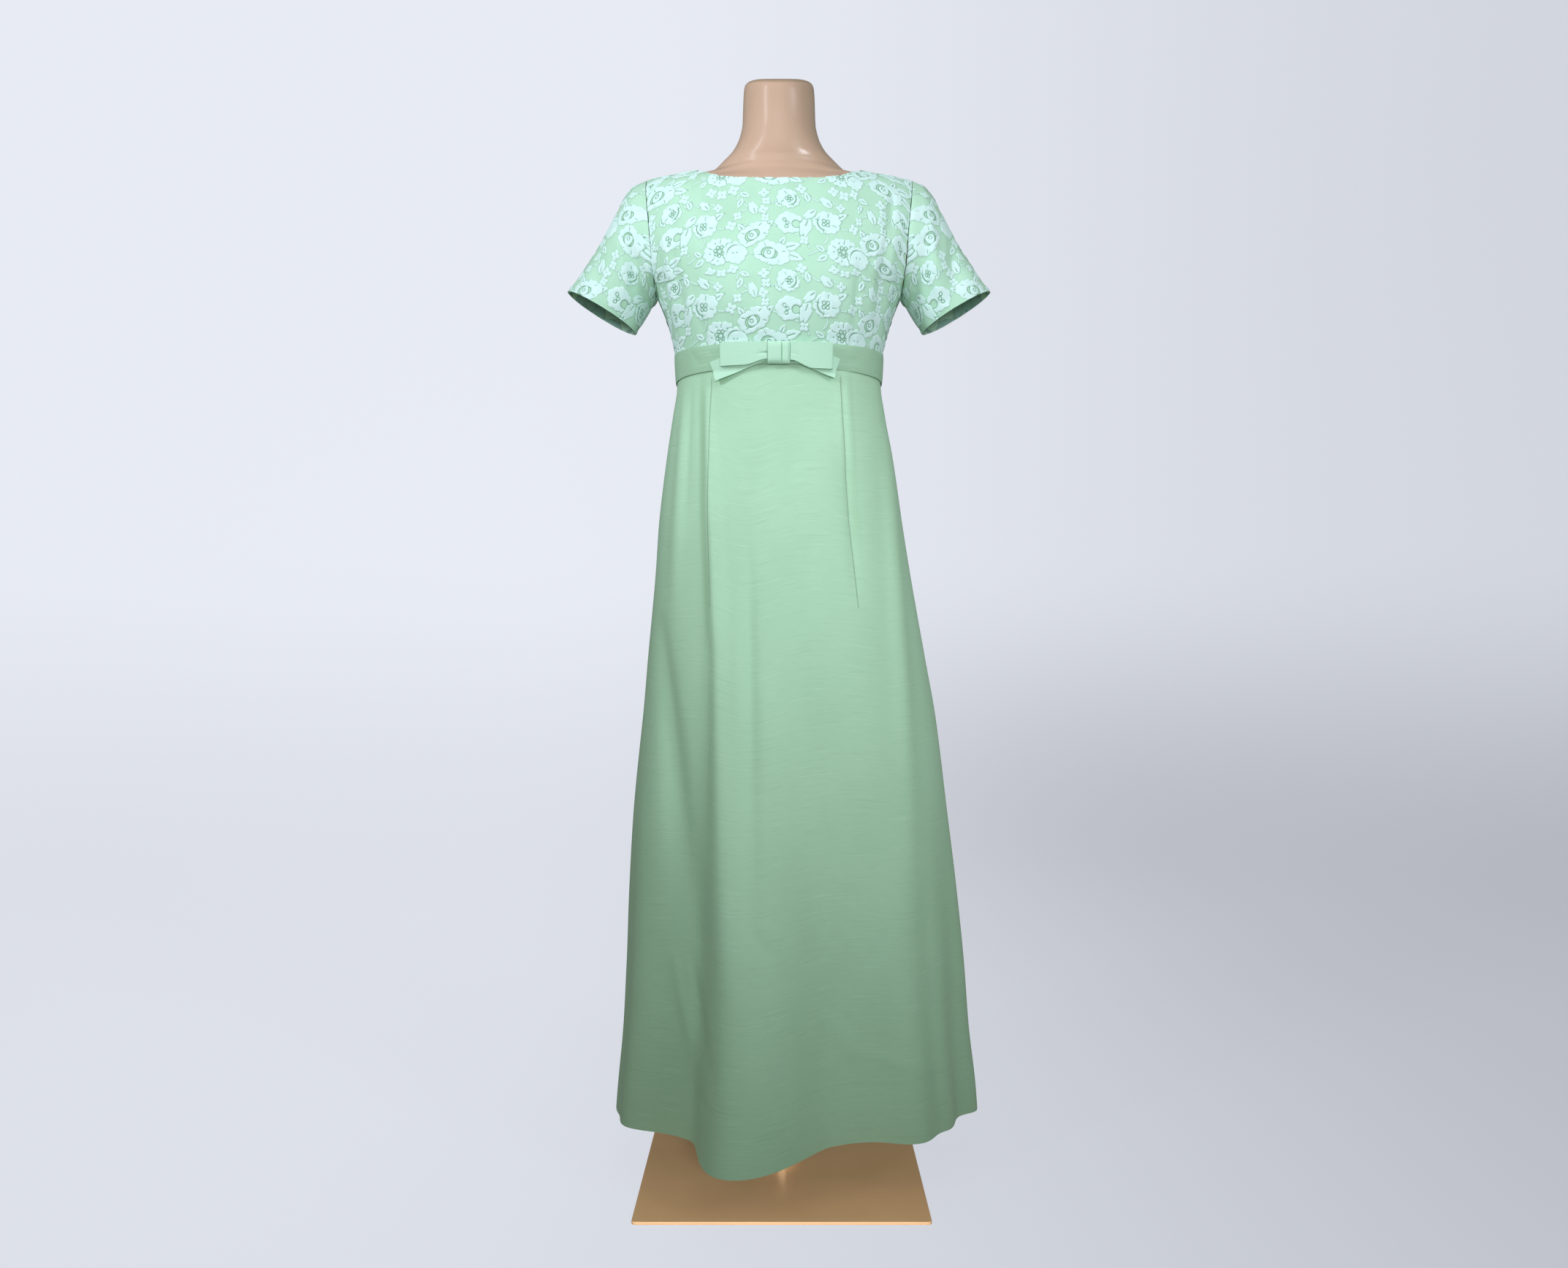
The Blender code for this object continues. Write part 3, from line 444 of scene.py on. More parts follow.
class GownShape:
    """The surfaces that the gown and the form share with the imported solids."""

    def __init__(self) -> None:
        """Make the curves through the tables."""
        self.figure = curves(FIGURE)
        self.neck = curves(NECK, "share")
        self.ease = curves(EASE)
        self.skirt = curves(SKIRT)
        self.sleeve = curves(SLEEVE, "along")

    def figure_point(self, bearing: Array, height: Array) -> Array:
        """Return points on the figure that the form and the bodice share."""
        x, y = section(bearing, height, self.figure)
        return stack(FORM_AXIS_X + x, y, height)

    def bodice_point(self, bearing: Array, height: Array) -> Array:
        """Return points on the bodice's outer side."""
        level_rim = 0.04
        out = outward(self.figure_point, bearing, height)
        tilt = np.minimum(np.abs(height - WAIST_SEAM) / level_rim, 1.0)
        out = unit(stack(out[..., 0], out[..., 1], out[..., 2] * tilt))
        facing = np.where(out[..., 1] < 0.0, self.ease["front"](height), self.ease["back"](height))
        ease = self.ease["side"](height) * out[..., 0] ** 2 + facing * out[..., 1] ** 2
        return self.figure_point(bearing, height) + out * (SEAT_GAP + SOLID_WALL + ease)[..., None]

    def armhole_bearing(self, height: Array) -> Array:
        """Return the bearing of the armhole's edge, or of the side and shoulder seams."""
        part = (height - UNDERARM) / (ARMHOLE_TOP - UNDERARM)
        edge = ARMHOLE_X_LOW + (ARMHOLE_X_TOP - ARMHOLE_X_LOW) * part
        share = np.clip(edge / self.figure["half_width"](height), 0.0, 1.0)
        bearing = np.arcsin(share ** (self.figure["squareness"](height) / 2.0))
        return np.where((part <= 0.0) | (part >= 1.0), QUARTER_TURN, bearing)

    def bodice_grid(self, shares: Array, levels: Array, is_front: bool) -> Array:
        """Return a bodice panel's points from its column shares and row levels."""
        share, level = np.meshgrid(shares, levels)
        top = self.neck["front" if is_front else "back"](np.abs(share))
        height = WAIST_SEAM + level * (top - WAIST_SEAM)
        bearing = share * self.armhole_bearing(height)
        if not is_front:
            bearing = HALF_TURN - bearing
        return self.bodice_point(bearing, height)

    def fold_push(self, bearing: Array, height: Array) -> Array:
        """Return how far the deep folds push the skirt out."""
        push = np.zeros(np.broadcast(bearing, height).shape)
        for fold in FOLDS:
            away = (np.degrees(bearing) - fold.bearing + 180.0) % 360.0 - 180.0
            spread = np.where(away > 0.0, fold.left_spread, fold.right_spread)
            share = np.clip(np.abs(away) / spread, 0.0, 1.0)
            grown = np.clip((fold.start - height) / (fold.start - HEM), 0.0, None) ** 1.4
            push = push + fold.depth * grown * (0.5 + 0.5 * np.cos(HALF_TURN * share))
        return push

    def skirt_point(self, bearing: Array, height: Array) -> Array:
        """Return points on the skirt's outer side."""
        at = self.skirt
        x, y = section(bearing, height, at)
        reach = np.sqrt(x * x + y * y)
        grown = 1.0 + self.fold_push(bearing, height) / reach
        middle_x, middle_y = FORM_AXIS_X + at["middle_x"](height), at["middle_y"](height)
        return stack(middle_x + x * grown, middle_y + y * grown, height)

    def skirt_grid(self, bearings: Array, levels: Array) -> Array:
        """Return a skirt panel's points; level 0 is the waist seam and 1 the hem."""
        bearing, level = np.meshgrid(bearings, levels)
        hem = HEM - HEM_DIP * self.fold_push(bearing, np.full_like(bearing, HEM))
        height = WAIST_SEAM - SEAM_GAP + level * (hem - WAIST_SEAM + SEAM_GAP)
        return self.skirt_point(bearing, height)

    def band_point(self, bearing: Array, height: Array, lift: Array) -> Array:
        """Return points over the waist seam, at a lift from the cloth under the band."""
        part = np.clip((height - BAND_BOTTOM) / (BAND_TOP - BAND_BOTTOM), 0.0, 1.0)[..., None]
        low = self.skirt_point(bearing, np.full_like(bearing, BAND_BOTTOM))
        high = self.bodice_point(bearing, np.full_like(bearing, BAND_TOP))
        base = low + (high - low) * part
        out = outward(self.skirt_point, bearing, np.full_like(bearing, WAIST_SEAM))
        out = unit(out * np.array([1.0, 1.0, 0.0]))
        base = stack(base[..., 0], base[..., 1], height)
        return base + out * np.asarray(lift)[..., None]

    def front_point(self, x: Array, height: Array, lift: Array) -> Array:
        """Return points in front of the waistband at x from the form's axis."""
        waist = np.array(WAIST_SEAM)
        share = np.clip(np.abs(x) / self.skirt["half_width"](waist), 0.0, 1.0)
        bearing = np.sign(x) * np.arcsin(share ** (self.skirt["squareness"](waist) / 2.0))
        return self.band_point(bearing, height, lift + BAND_SEAT + SOLID_WALL)

    def armhole_loop(self, turn: Array) -> Array:
        """Return points on the armhole's edge; turn 0 is its top and a quarter its front."""
        middle = (ARMHOLE_TOP + UNDERARM) / 2.0
        height = middle + (ARMHOLE_TOP - UNDERARM) / 2.0 * np.cos(turn)
        bearing = self.armhole_bearing(height)
        bearing = np.where(np.sin(turn) < 0.0, HALF_TURN - bearing, bearing)
        return self.bodice_point(bearing, height)

    def sleeve_grid(self, turns: Array, alongs: Array) -> Array:
        """Return points on the outer side of the wearer's left sleeve."""
        turn, along = np.meshgrid(turns, alongs)
        ring = self.sleeve_ring(turn, along)
        head = self.sleeve_ring(turn, np.zeros_like(along))
        share = np.clip(along / SLEEVE_BLEND, 0.0, 1.0)
        fade = 0.5 + 0.5 * np.cos(HALF_TURN * share)
        step = np.array([SLEEVE_STEP, 0.0, 0.0])
        return ring + (self.armhole_loop(turn) + step - head) * fade[..., None]

    def sleeve_ring(self, turn: Array, along: Array) -> Array:
        """Return points on a sleeve's plain section."""
        at = self.sleeve
        top_x, top_z = at["top_x"](along), at["top_z"](along)
        under_x, under_z = at["under_x"](along), at["under_z"](along)
        x = (top_x + under_x) / 2.0 + (top_x - under_x) / 2.0 * np.cos(turn)
        z = (top_z + under_z) / 2.0 + (top_z - under_z) / 2.0 * np.cos(turn)
        return stack(FORM_AXIS_X + x, -at["half_depth"](along) * np.sin(turn), z)


def grid_faces(rows: int, columns: int, closed: bool) -> Array:
    """Return the four-sided faces of a grid of points, row by row."""
    index = np.arange(rows * columns).reshape(rows, columns)
    if closed:
        index = np.concatenate([index, index[:, :1]], axis=1)
    corners = (index[:-1, :-1], index[:-1, 1:], index[1:, 1:], index[1:, :-1])
    return np.stack([corner.ravel() for corner in corners], axis=1)


def link_object(name: str, data: bpy.types.ID) -> Piece:
    """Return a new object around its data, linked to the scene."""
    made = bpy.data.objects.new(name, data)
    bpy.context.scene.collection.objects.link(made)
    return made


def make_object(
    name: str, points: Array, faces: Array | list, cloth: Array | None = None,
    values: dict[str, Array] | None = None,
) -> Piece:
    """Make a smooth mesh object.

    Args:
        name: the piece's name.
        points: its points.
        faces: the corners of each face.
        cloth: a place on the flat cloth for each point, kept as the UV map "cloth".
        values: named numbers for each point, kept as attributes.

    Returns:
        The object, linked to the scene.
    """
    mesh = bpy.data.meshes.new(name)
    mesh.from_pydata(points.tolist(), [], faces if isinstance(faces, list) else faces.tolist())
    if cloth is not None:
        corners = np.empty(len(mesh.loops), dtype=np.int32)
        mesh.loops.foreach_get("vertex_index", corners)
        layer = mesh.uv_layers.new(name="cloth")
        layer.data.foreach_set("uv", cloth[corners].astype(np.float32).ravel())
    for label, numbers in (values or {}).items():
        attribute = mesh.attributes.new(label, "FLOAT", "POINT")
        attribute.data.foreach_set("value", numbers.astype(np.float32).ravel())
    mesh.shade_smooth()
    mesh.set_sharp_from_angle(angle=math.radians(50.0))
    mesh.update()
    return link_object(name, mesh)


@dataclass
class ClothGrid:
    """A cut piece of cloth as a grid of points, rows from one end and columns across.

    Attributes:
        points: the outer side, rows by columns by 3.
        facing: a rough outward direction at the grid's middle, which settles the sides.
        closed: whether the last column joins the first.
        zero_row: the row that lengths along the cloth are counted from.
        zero_column: the column that lengths across are counted from.
        axis: the direction of lengths along a tube of cloth, or None where the rows give them.
    """

    points: Array
    facing: Triple
    closed: bool = False
    zero_row: int = 0
    zero_column: int = 0
    axis: Triple | None = None
    out: Array = field(init=False)

    def __post_init__(self) -> None:
        """Work out the outward directions."""
        self.refresh()

    def refresh(self) -> None:
        """Work out the outward directions again after the points have moved."""
        points = self.points
        if self.closed:
            wrapped = np.concatenate([points[:, -1:], points, points[:, :1]], axis=1)
            across = wrapped[:, 2:] - wrapped[:, :-2]
        else:
            across = np.gradient(points, axis=1)
        out = unit(np.cross(across, np.gradient(points, axis=0)))
        middle = out[out.shape[0] // 2, out.shape[1] // 2]
        sign = 1.0 if float(middle @ np.array(self.facing)) > 0.0 else -1.0
        self.out = out * sign

    def crease(self, creases: Sequence[Crease], share: Array | float = 1.0) -> None:
        """Push the cloth's creases into its points, all of them or a share at each."""
        self.points = self.points + self.out * (crease_push(self.points, creases) * share)[..., None]
        self.refresh()

    def cloth_places(self) -> Array:
        """Return each point's place on the flat cloth, across and along, in metres."""
        steps = np.diff(self.points, axis=1)
        if self.axis is None:
            along = np.linalg.norm(np.diff(self.points, axis=0), axis=-1)
            along = np.pad(np.cumsum(along, axis=0), ((1, 0), (0, 0)))
            if self.zero_row == -1:
                along = along[-1:, :] - along
        else:
            axis = np.array(self.axis)
            along = self.points @ axis
            along = along - along.min()
            steps = steps - (steps @ axis)[..., None] * axis
        across = np.pad(np.cumsum(np.linalg.norm(steps, axis=-1), axis=1), ((0, 0), (1, 0)))
        return np.stack([across - across[:, [self.zero_column]], along], axis=-1)

    def flat_size(self) -> Triple:
        """Return the cut's greatest width, its length and its area, in metres."""
        spots = np.concatenate([self.points, self.points[:, :1]], axis=1) if self.closed else self.points
        widths = np.linalg.norm(np.diff(spots, axis=1), axis=-1).sum(axis=1)
        lengths = np.linalg.norm(np.diff(spots, axis=0), axis=-1).sum(axis=0)
        quads = np.cross(spots[1:, 1:] - spots[:-1, :-1], spots[1:, :-1] - spots[:-1, 1:])
        area = np.linalg.norm(quads, axis=-1).sum() / 2.0
        return float(widths.max()), float(lengths.max()), float(area)

    def draw_in(self, distance: float) -> None:
        """Draw both edge columns in, so that cut pieces keep a gap at their seams."""
        for edge, inner in ((0, 1), (-1, -2)):
            way = unit(self.points[:, inner] - self.points[:, edge])
            self.points[:, edge] += way * distance

    def wall(self, name: str, thickness: float) -> Piece:
        """Return the cloth as a closed wall of a thickness behind its outer side."""
        rows, columns = self.points.shape[:2]
        count = rows * columns
        outer = grid_faces(rows, columns, self.closed)
        inner = outer[:, ::-1] + count
        index = np.arange(count).reshape(rows, columns)
        lines = [np.append(line, line[0]) if self.closed else line for line in (index[0], index[-1])]
        lines += [] if self.closed else [index[:, 0], index[:, -1]]
        ends = [(line[:-1], line[1:]) for line in lines]
        rims = [np.stack([low, high, high + count, low + count], axis=1) for low, high in ends]
        faces = np.concatenate([outer, inner, *rims])
        back = self.points - self.out * thickness
        points = np.concatenate([self.points.reshape(-1, 3), back.reshape(-1, 3)])
        places = self.cloth_places().reshape(-1, 2)
        made = make_object(name, points, faces, np.concatenate([places, places]))
        turn_outwards(made)
        return made


def turn_outwards(piece: Piece) -> None:
    """Turn a closed mesh's faces to point out."""
    work = bmesh.new()
    work.from_mesh(piece.data)
    bmesh.ops.recalc_face_normals(work, faces=work.faces)
    work.to_mesh(piece.data)
    work.free()


def operator(operation: str, is_reflected: bool = False) -> Callable[["Value", "Number"], "Value"]:
    """Return a method that joins a value and another number with a Math node."""

    def apply(self: "Value", other: "Number") -> "Value":
        """Return the joined value."""
        return self.tree.math(operation, *((other, self) if is_reflected else (self, other)))

    return apply


class Value:
    """A number in a shader tree; arithmetic on it adds Math nodes."""

    def __init__(self, tree: "ShaderTree", socket: Socket) -> None:
        """Wrap an output socket of a tree."""
        self.tree = tree
        self.socket = socket

    __add__ = __radd__ = operator("ADD")
    __sub__ = operator("SUBTRACT")
    __rsub__ = operator("SUBTRACT", is_reflected=True)
    __mul__ = __rmul__ = operator("MULTIPLY")
    __truediv__ = operator("DIVIDE")
    __rtruediv__ = operator("DIVIDE", is_reflected=True)

    def __abs__(self) -> "Value":
        """Return the size without its sign."""
        return self.tree.math("ABSOLUTE", self)

    def clamp(self) -> "Value":
        """Return the value kept between 0 and 1."""
        return self.tree.math("ADD", self, 0.0, use_clamp=True)


Number = Value | float
Colour = Triple


class ShaderTree:
    """A material's node tree, with one method that adds any node."""

    def __init__(self, name: str) -> None:
        """Start a material with an empty tree."""
        self.material = bpy.data.materials.new(name)
        self.material.use_nodes = True
        self.nodes = self.material.node_tree.nodes
        self.links = self.material.node_tree.links
        self.nodes.clear()

    def node(self, kind: str, settings: dict | None = None, inputs: dict | None = None) -> bpy.types.Node:
        """Add a node.

        Args:
            kind: the node's type without its ShaderNode prefix.
            settings: its own properties, set first.
            inputs: values or links for its sockets, by name or index.

        Returns:
            The node.
        """
        made = self.nodes.new("ShaderNode" + kind)
        for label, setting in (settings or {}).items():
            setattr(made, label, setting)
        for label, value in (inputs or {}).items():
            socket = made.inputs[label]
            if isinstance(value, Value):
                self.links.new(value.socket, socket)
            elif isinstance(value, Socket):
                self.links.new(value, socket)
            elif socket.type == "RGBA":
                socket.default_value = (*value, 1.0)
            else:
                socket.default_value = value
        return made

    def math(self, operation: str, first: Number, second: Number = 0.0, use_clamp: bool = False) -> Value:
        """Return a Math node's value."""
        made = self.node("Math", {"operation": operation, "use_clamp": use_clamp}, {0: first, 1: second})
        return Value(self, made.outputs[0])

    def band(self, value: Number, low: float, high: float) -> Value:
        """Return 0 below low and 1 above high, with a smooth rise between."""
        settings = {"interpolation_type": "SMOOTHSTEP"}
        inputs = {"Value": value, "From Min": low, "From Max": high}
        return Value(self, self.node("MapRange", settings, inputs).outputs[0])

    def mix(self, factor: Number, first: object, second: object, blend: str = "MIX") -> Socket:
        """Return a colour between two colours."""
        settings = {"data_type": "RGBA", "blend_type": blend, "clamp_factor": True}
        made = self.node("Mix", settings, {0: factor, 6: first, 7: second})
        return made.outputs[2]

    def place(self, scale: Triple, on_cloth: bool) -> Socket:
        """Return coordinates on the flat cloth or in the object's own space, scaled."""
        if on_cloth:
            source = self.node("UVMap", {"uv_map": "cloth"}).outputs["UV"]
        else:
            source = self.node("TexCoord").outputs["Object"]
        return self.node("Mapping", None, {"Vector": source, "Scale": scale}).outputs["Vector"]

    def noise(self, scale: Triple, on_cloth: bool, detail: float = 2.0, roughness: float = 0.5) -> Value:
        """Return noise with as many cells to a metre as the scale says, on the flat cloth or in space."""
        vector = self.place(scale, on_cloth)
        inputs = {"Vector": vector, "Scale": 1.0, "Detail": detail, "Roughness": roughness}
        return Value(self, self.node("TexNoise", {"noise_dimensions": "3D"}, inputs).outputs["Fac"])

    def axes(self, on_cloth: bool) -> list[Value]:
        """Return the coordinates on the flat cloth or in the object's own space, one by one."""
        split = self.node("SeparateXYZ", None, {0: self.place((1.0, 1.0, 1.0), on_cloth)})
        return [Value(self, socket) for socket in split.outputs]

    def bump(self, height: Value, distance: float, strength: float, under: object = None) -> Socket:
        """Return a normal bent by a height, over an earlier normal if one is given."""
        inputs = {"Height": height, "Distance": distance, "Strength": strength}
        if under is not None:
            inputs["Normal"] = under
        return self.node("Bump", None, inputs).outputs["Normal"]

    def finish(self, inputs: dict) -> Material:
        """Close the tree with a Principled shader and return its material."""
        shader = self.node("BsdfPrincipled", None, inputs)
        output = self.node("OutputMaterial")
        self.links.new(shader.outputs["BSDF"], output.inputs["Surface"])
        return self.material


@dataclass(frozen=True)
class Line:
    """A sewn line on the flat cloth, from one place to another."""

    start: Couple
    end: Couple


@dataclass(frozen=True)
class SlubSatin:
    """A soft satin woven with fine level slubs, with sewn lines pressed into it as bumped grooves in painted
    shade, and soft stripes of painted shade beside them.
    """

    name: str
    colour: Colour = (0.462, 0.72, 0.5)
    dark: Colour = (0.375, 0.6, 0.385)
    light: Colour = (0.53, 0.785, 0.59)
    darts: tuple[Line, ...] = ()
    # Soft stripes of painted shade beside the darts, where folds would shade the cloth
    pressed: tuple[Line, ...] = ()
    hem_depth: float = 0.0
    patchiness: float = 0.3

    def material(self) -> Material:
        """Build the satin's material."""
        tree = ShaderTree(self.name)
        slub = tree.noise((15.0, 400.0, 1.0), True, 3.0, 0.6)
        fine = tree.noise((60.0, 1500.0, 1.0), True, 2.0)
        warp = tree.noise((1900.0, 90.0, 1.0), True, 1.0)
        patch = tree.noise((9.0, 5.0, 1.0), True, 3.0)
        thread = tree.band(slub, 0.56, 0.7)
        gap = tree.band(1.0 - slub, 0.56, 0.7)
        tone = tree.mix(tree.band(patch, 0.3, 0.72) * self.patchiness, self.colour, self.dark)
        tone = tree.mix(thread * 0.5, tone, self.light)
        tone = tree.mix(gap * 0.45, tone, self.dark)
        tone = tree.mix(tree.band(fine, 0.4, 0.7) * 0.3, tone, self.dark)
        height = slub * 1.0 + fine * 0.45 + warp * 0.2
        normal = tree.bump(height, 0.0005, 0.4)
        line = self.line_mask(tree)
        if line is not None:
            # Painted shade along the darts and the hem fold, over a bumped groove
            tone = tree.mix(line * 0.42, tone, tuple(part * 0.5 for part in self.dark))
            normal = tree.bump(1.0 - line, 0.0007, 0.7, normal)
        # Painted shade in soft stripes beside the darts
        for shade_stripe in self.pressed:
            tone = tree.mix(self.stripe(tree, shade_stripe, 0.001, 0.0085, 0.06) * 0.55, tone, self.dark)
        rough = 0.46 + slub * 0.14 + patch * 0.06
        return tree.finish({
            "Base Color": tone, "Roughness": rough, "Normal": normal, "Specular IOR Level": 0.26,
            "Sheen Weight": 0.12, "Sheen Roughness": 0.45, "Sheen Tint": (0.8, 0.96, 0.88),
        })

    def line_mask(self, tree: ShaderTree) -> Value | None:
        """Return how deep a point lies in a sewn line, or None where the cloth has none."""
        if not self.darts and not self.hem_depth:
            return None
        along = tree.axes(True)[1]
        mask = tree.math("MULTIPLY", along, 0.0)
        if self.hem_depth:
            faint = 0.14
            mask = mask + (1.0 - tree.band(abs(along - self.hem_depth), 0.0004, 0.0014)) * faint
        for dart in self.darts:
            mask = mask + self.stripe(tree, dart, 0.0003, 0.0012, 0.002)
        return mask.clamp()

    def stripe(self, tree: ShaderTree, line: Line, core: float, reach: float, end: float) -> Value:
        """Return a mask along a line.

        Args:
            tree: the material's tree.
            line: where it runs on the flat cloth.
            core: how far from the line it is whole.
            reach: how far from the line it has gone.
            end: how far from each of its ends it fades.

        Returns:
            1 on the line and 0 away from it.
        """
        across, along, _ = tree.axes(True)
        slope = (line.end[0] - line.start[0]) / (line.end[1] - line.start[1])
        centre = along * slope + (line.start[0] - slope * line.start[1])
        low, high = sorted((line.start[1], line.end[1]))
        inside = tree.band(along, low - end, low + end) * (1.0 - tree.band(along, high - end, high + end))
        return (1.0 - tree.band(abs(across - centre), core, reach)) * inside


@dataclass(frozen=True)
class NettedSatin:
    """The satin under the lace, with the lace's fine net lying over it."""

    name: str = "netted_mint_satin"
    colour: Colour = (0.525, 0.815, 0.61)
    dark: Colour = (0.4, 0.66, 0.455)
    net: Colour = (0.59, 0.85, 0.7)

    def material(self) -> Material:
        """Build the netted satin's material."""
        tree = ShaderTree(self.name)
        patch = tree.noise((16.0, 12.0, 1.0), True, 3.0)
        weave = tree.noise((260.0, 1500.0, 1.0), True, 2.0)
        knots = self.net_lines(tree)
        tone = tree.mix(tree.band(patch, 0.32, 0.72) * 0.5, self.colour, self.dark)
        tone = tree.mix(tree.band(weave, 0.4, 0.8) * 0.15, tone, self.dark)
        tone = tree.mix(knots * 0.28, tone, self.net)
        normal = tree.bump(knots * 0.8 + weave * 0.3, 0.0002, 0.4)
        return tree.finish({
            "Base Color": tone, "Roughness": 0.48 + patch * 0.12, "Normal": normal,
            "Specular IOR Level": 0.26, "Sheen Weight": 0.1, "Sheen Roughness": 0.5,
            "Sheen Tint": (0.8, 0.96, 0.88),
        })

    @staticmethod
    def net_lines(tree: ShaderTree) -> Value:
        """Return the net's fine crossing threads."""
        pitch = 0.0017
        settings = {"feature": "DISTANCE_TO_EDGE", "voronoi_dimensions": "2D"}
        vector = tree.place((1.0 / pitch, 1.0 / pitch, 1.0), True)
        inputs = {"Vector": vector, "Scale": 1.0, "Randomness": 0.45}
        cell = Value(tree, tree.node("TexVoronoi", settings, inputs).outputs["Distance"])
        return 1.0 - tree.band(cell, 0.04, 0.16)


@dataclass(frozen=True)
class LaceThread:
    """The lace's worked parts, with painted shade inside their edges, painted shadow on the net close round
    them and painted shade in their openings.
    """

    name: str = "aqua_lace_thread"
    colour: Colour = (0.64, 0.875, 0.81)
    light: Colour = (0.725, 0.925, 0.885)
    net: Colour = (0.48, 0.76, 0.56)
    # Painted shadow on the net close round the worked edges
    shade: Colour = (0.3, 0.53, 0.36)
    # Painted shade in the openings and in the gaps between touching motifs
    deep: Colour = (0.17, 0.35, 0.24)

    def material(self) -> Material:
        """Build the lace's material."""
        tree = ShaderTree(self.name)
        edge = self.number(tree, "edge")
        petal = self.number(tree, "petal")
        deep = self.number(tree, "deep")
        threads = tree.noise((900.0, 1300.0, 1.0), True, 2.0, 0.6)
        cloud = tree.noise((60.0, 75.0, 1.0), True, 2.0)
        worked = tree.mix(petal * 0.45 + threads * 0.25 + cloud * 0.3, self.colour, self.light)
        # Painted shade inside the worked edges, and painted shadow on the net just outside them
        worked = tree.mix((1.0 - tree.band(edge, 0.1, 0.9)) * 0.22, worked, self.net)
        ground = tree.mix(tree.band(edge, -0.95, -0.15) * 0.4, self.net, self.shade)
        # Painted shade in the openings and between touching motifs
        ground = tree.mix(deep * 0.8, ground, self.deep)
        tone = tree.mix(tree.band(edge, -0.28, 0.24), ground, worked)
        normal = tree.bump(threads, 0.0003, 0.35)
        return tree.finish({
            "Base Color": tone, "Roughness": 0.62 + threads * 0.16, "Normal": normal,
            "Specular IOR Level": 0.22, "Sheen Weight": 0.12, "Sheen Roughness": 0.5,
            "Sheen Tint": (0.9, 1.0, 1.0),
        })

    @staticmethod
    def number(tree: ShaderTree, label: str) -> Value:
        """Return one of the lace's own attributes."""
        return Value(tree, tree.node("Attribute", {"attribute_name": label}).outputs["Fac"])


@dataclass(frozen=True)
class GlossPlastic:
    """The form's moulded plastic: glossy, a little mottled, with faint scuffs and a painted dark reflection
    along the neck's top edge.
    """

    name: str = "tan_gloss_plastic_fine"
    colour: Colour = (0.61, 0.425, 0.3)
    warm: Colour = (0.655, 0.43, 0.315)
    dull: Colour = (0.52, 0.37, 0.26)
    # Painted dark reflection along the neck stump's top edge
    rim: Colour = (0.33, 0.225, 0.14)
    rim_from: float = 1.5125
    rim_whole: float = 1.515
    rim_dip: float = 4.8

    def material(self) -> Material:
        """Build the plastic's material."""
        tree = ShaderTree(self.name)
        mottle = tree.noise((26.0, 26.0, 17.0), False, 4.0, 0.6)
        cloud = tree.noise((7.0, 7.0, 4.0), False, 2.0)
        orange_peel = tree.noise((420.0, 420.0, 420.0), False, 1.0)
        scuff = tree.noise((900.0, 900.0, 60.0), False, 2.0, 0.7)
        tone = tree.mix(tree.band(cloud, 0.35, 0.7) * 0.6, self.colour, self.warm)
        tone = tree.mix(tree.band(mottle, 0.5, 0.75) * 0.35, tone, self.dull)
        # Painted dark reflection along the neck's top edge, reaching lower towards the front
        _, y, z = tree.axes(False)
        ahead = tree.math("MINIMUM", y, 0.0)
        level = z + ahead * ahead * self.rim_dip
        tone = tree.mix(tree.band(level, self.rim_from, self.rim_whole) * 0.6, tone, self.rim)
        rough = 0.26 + tree.band(scuff, 0.58, 0.75) * 0.12 + mottle * 0.08
        normal = tree.bump(orange_peel, 0.00015, 0.25)
        return tree.finish({
            "Base Color": tone, "Roughness": rough, "Normal": normal, "Specular IOR Level": 0.5,
            "Coat Weight": 0.35, "Coat Roughness": 0.16,
        })


@dataclass(frozen=True)
class BrushedBronze:
    """The base plate's brushed metal under a clear lacquer."""

    name: str = "brushed_bronze_lacquered"
    colour: Colour = (0.64, 0.385, 0.19)
    dark: Colour = (0.52, 0.3, 0.14)

    def material(self) -> Material:
        """Build the bronze's material."""
        tree = ShaderTree(self.name)
        brush = tree.noise((14.0, 1700.0, 60.0), False, 3.0, 0.65)
        cloud = tree.noise((6.0, 6.0, 6.0), False, 3.0)
        speck = tree.noise((240.0, 240.0, 240.0), False, 1.0)
        tone = tree.mix(brush * 0.35 + tree.band(cloud, 0.35, 0.7) * 0.35, self.colour, self.dark)
        tone = tree.mix(tree.band(speck, 0.74, 0.8) * 0.3, tone, self.dark)
        rough = 0.4 + brush * 0.14 + cloud * 0.06
        normal = tree.bump(brush, 0.00006, 0.25)
        return tree.finish({
            "Base Color": tone, "Metallic": 0.35, "Roughness": rough, "Normal": normal,
            "Coat Weight": 0.1, "Coat Roughness": 0.35,
        })


@dataclass(frozen=True)
class PolishedGold:
    """The pole's and the ferrule's polished metal."""

    name: str = "polished_gold_lacquered"
    colour: Colour = (0.83, 0.64, 0.4)
    dark: Colour = (0.56, 0.4, 0.22)

    def material(self) -> Material:
        """Build the gold's material."""
        tree = ShaderTree(self.name)
        smear = tree.noise((60.0, 60.0, 12.0), False, 3.0)
        hair = tree.noise((120.0, 120.0, 2600.0), False, 2.0)
        tone = tree.mix(tree.band(smear, 0.45, 0.75) * 0.4, self.colour, self.dark)
        rough = 0.14 + tree.band(smear, 0.45, 0.7) * 0.1 + hair * 0.05
        normal = tree.bump(hair, 0.00004, 0.25)
        return tree.finish({"Base Color": tone, "Metallic": 0.85, "Roughness": rough, "Normal": normal})


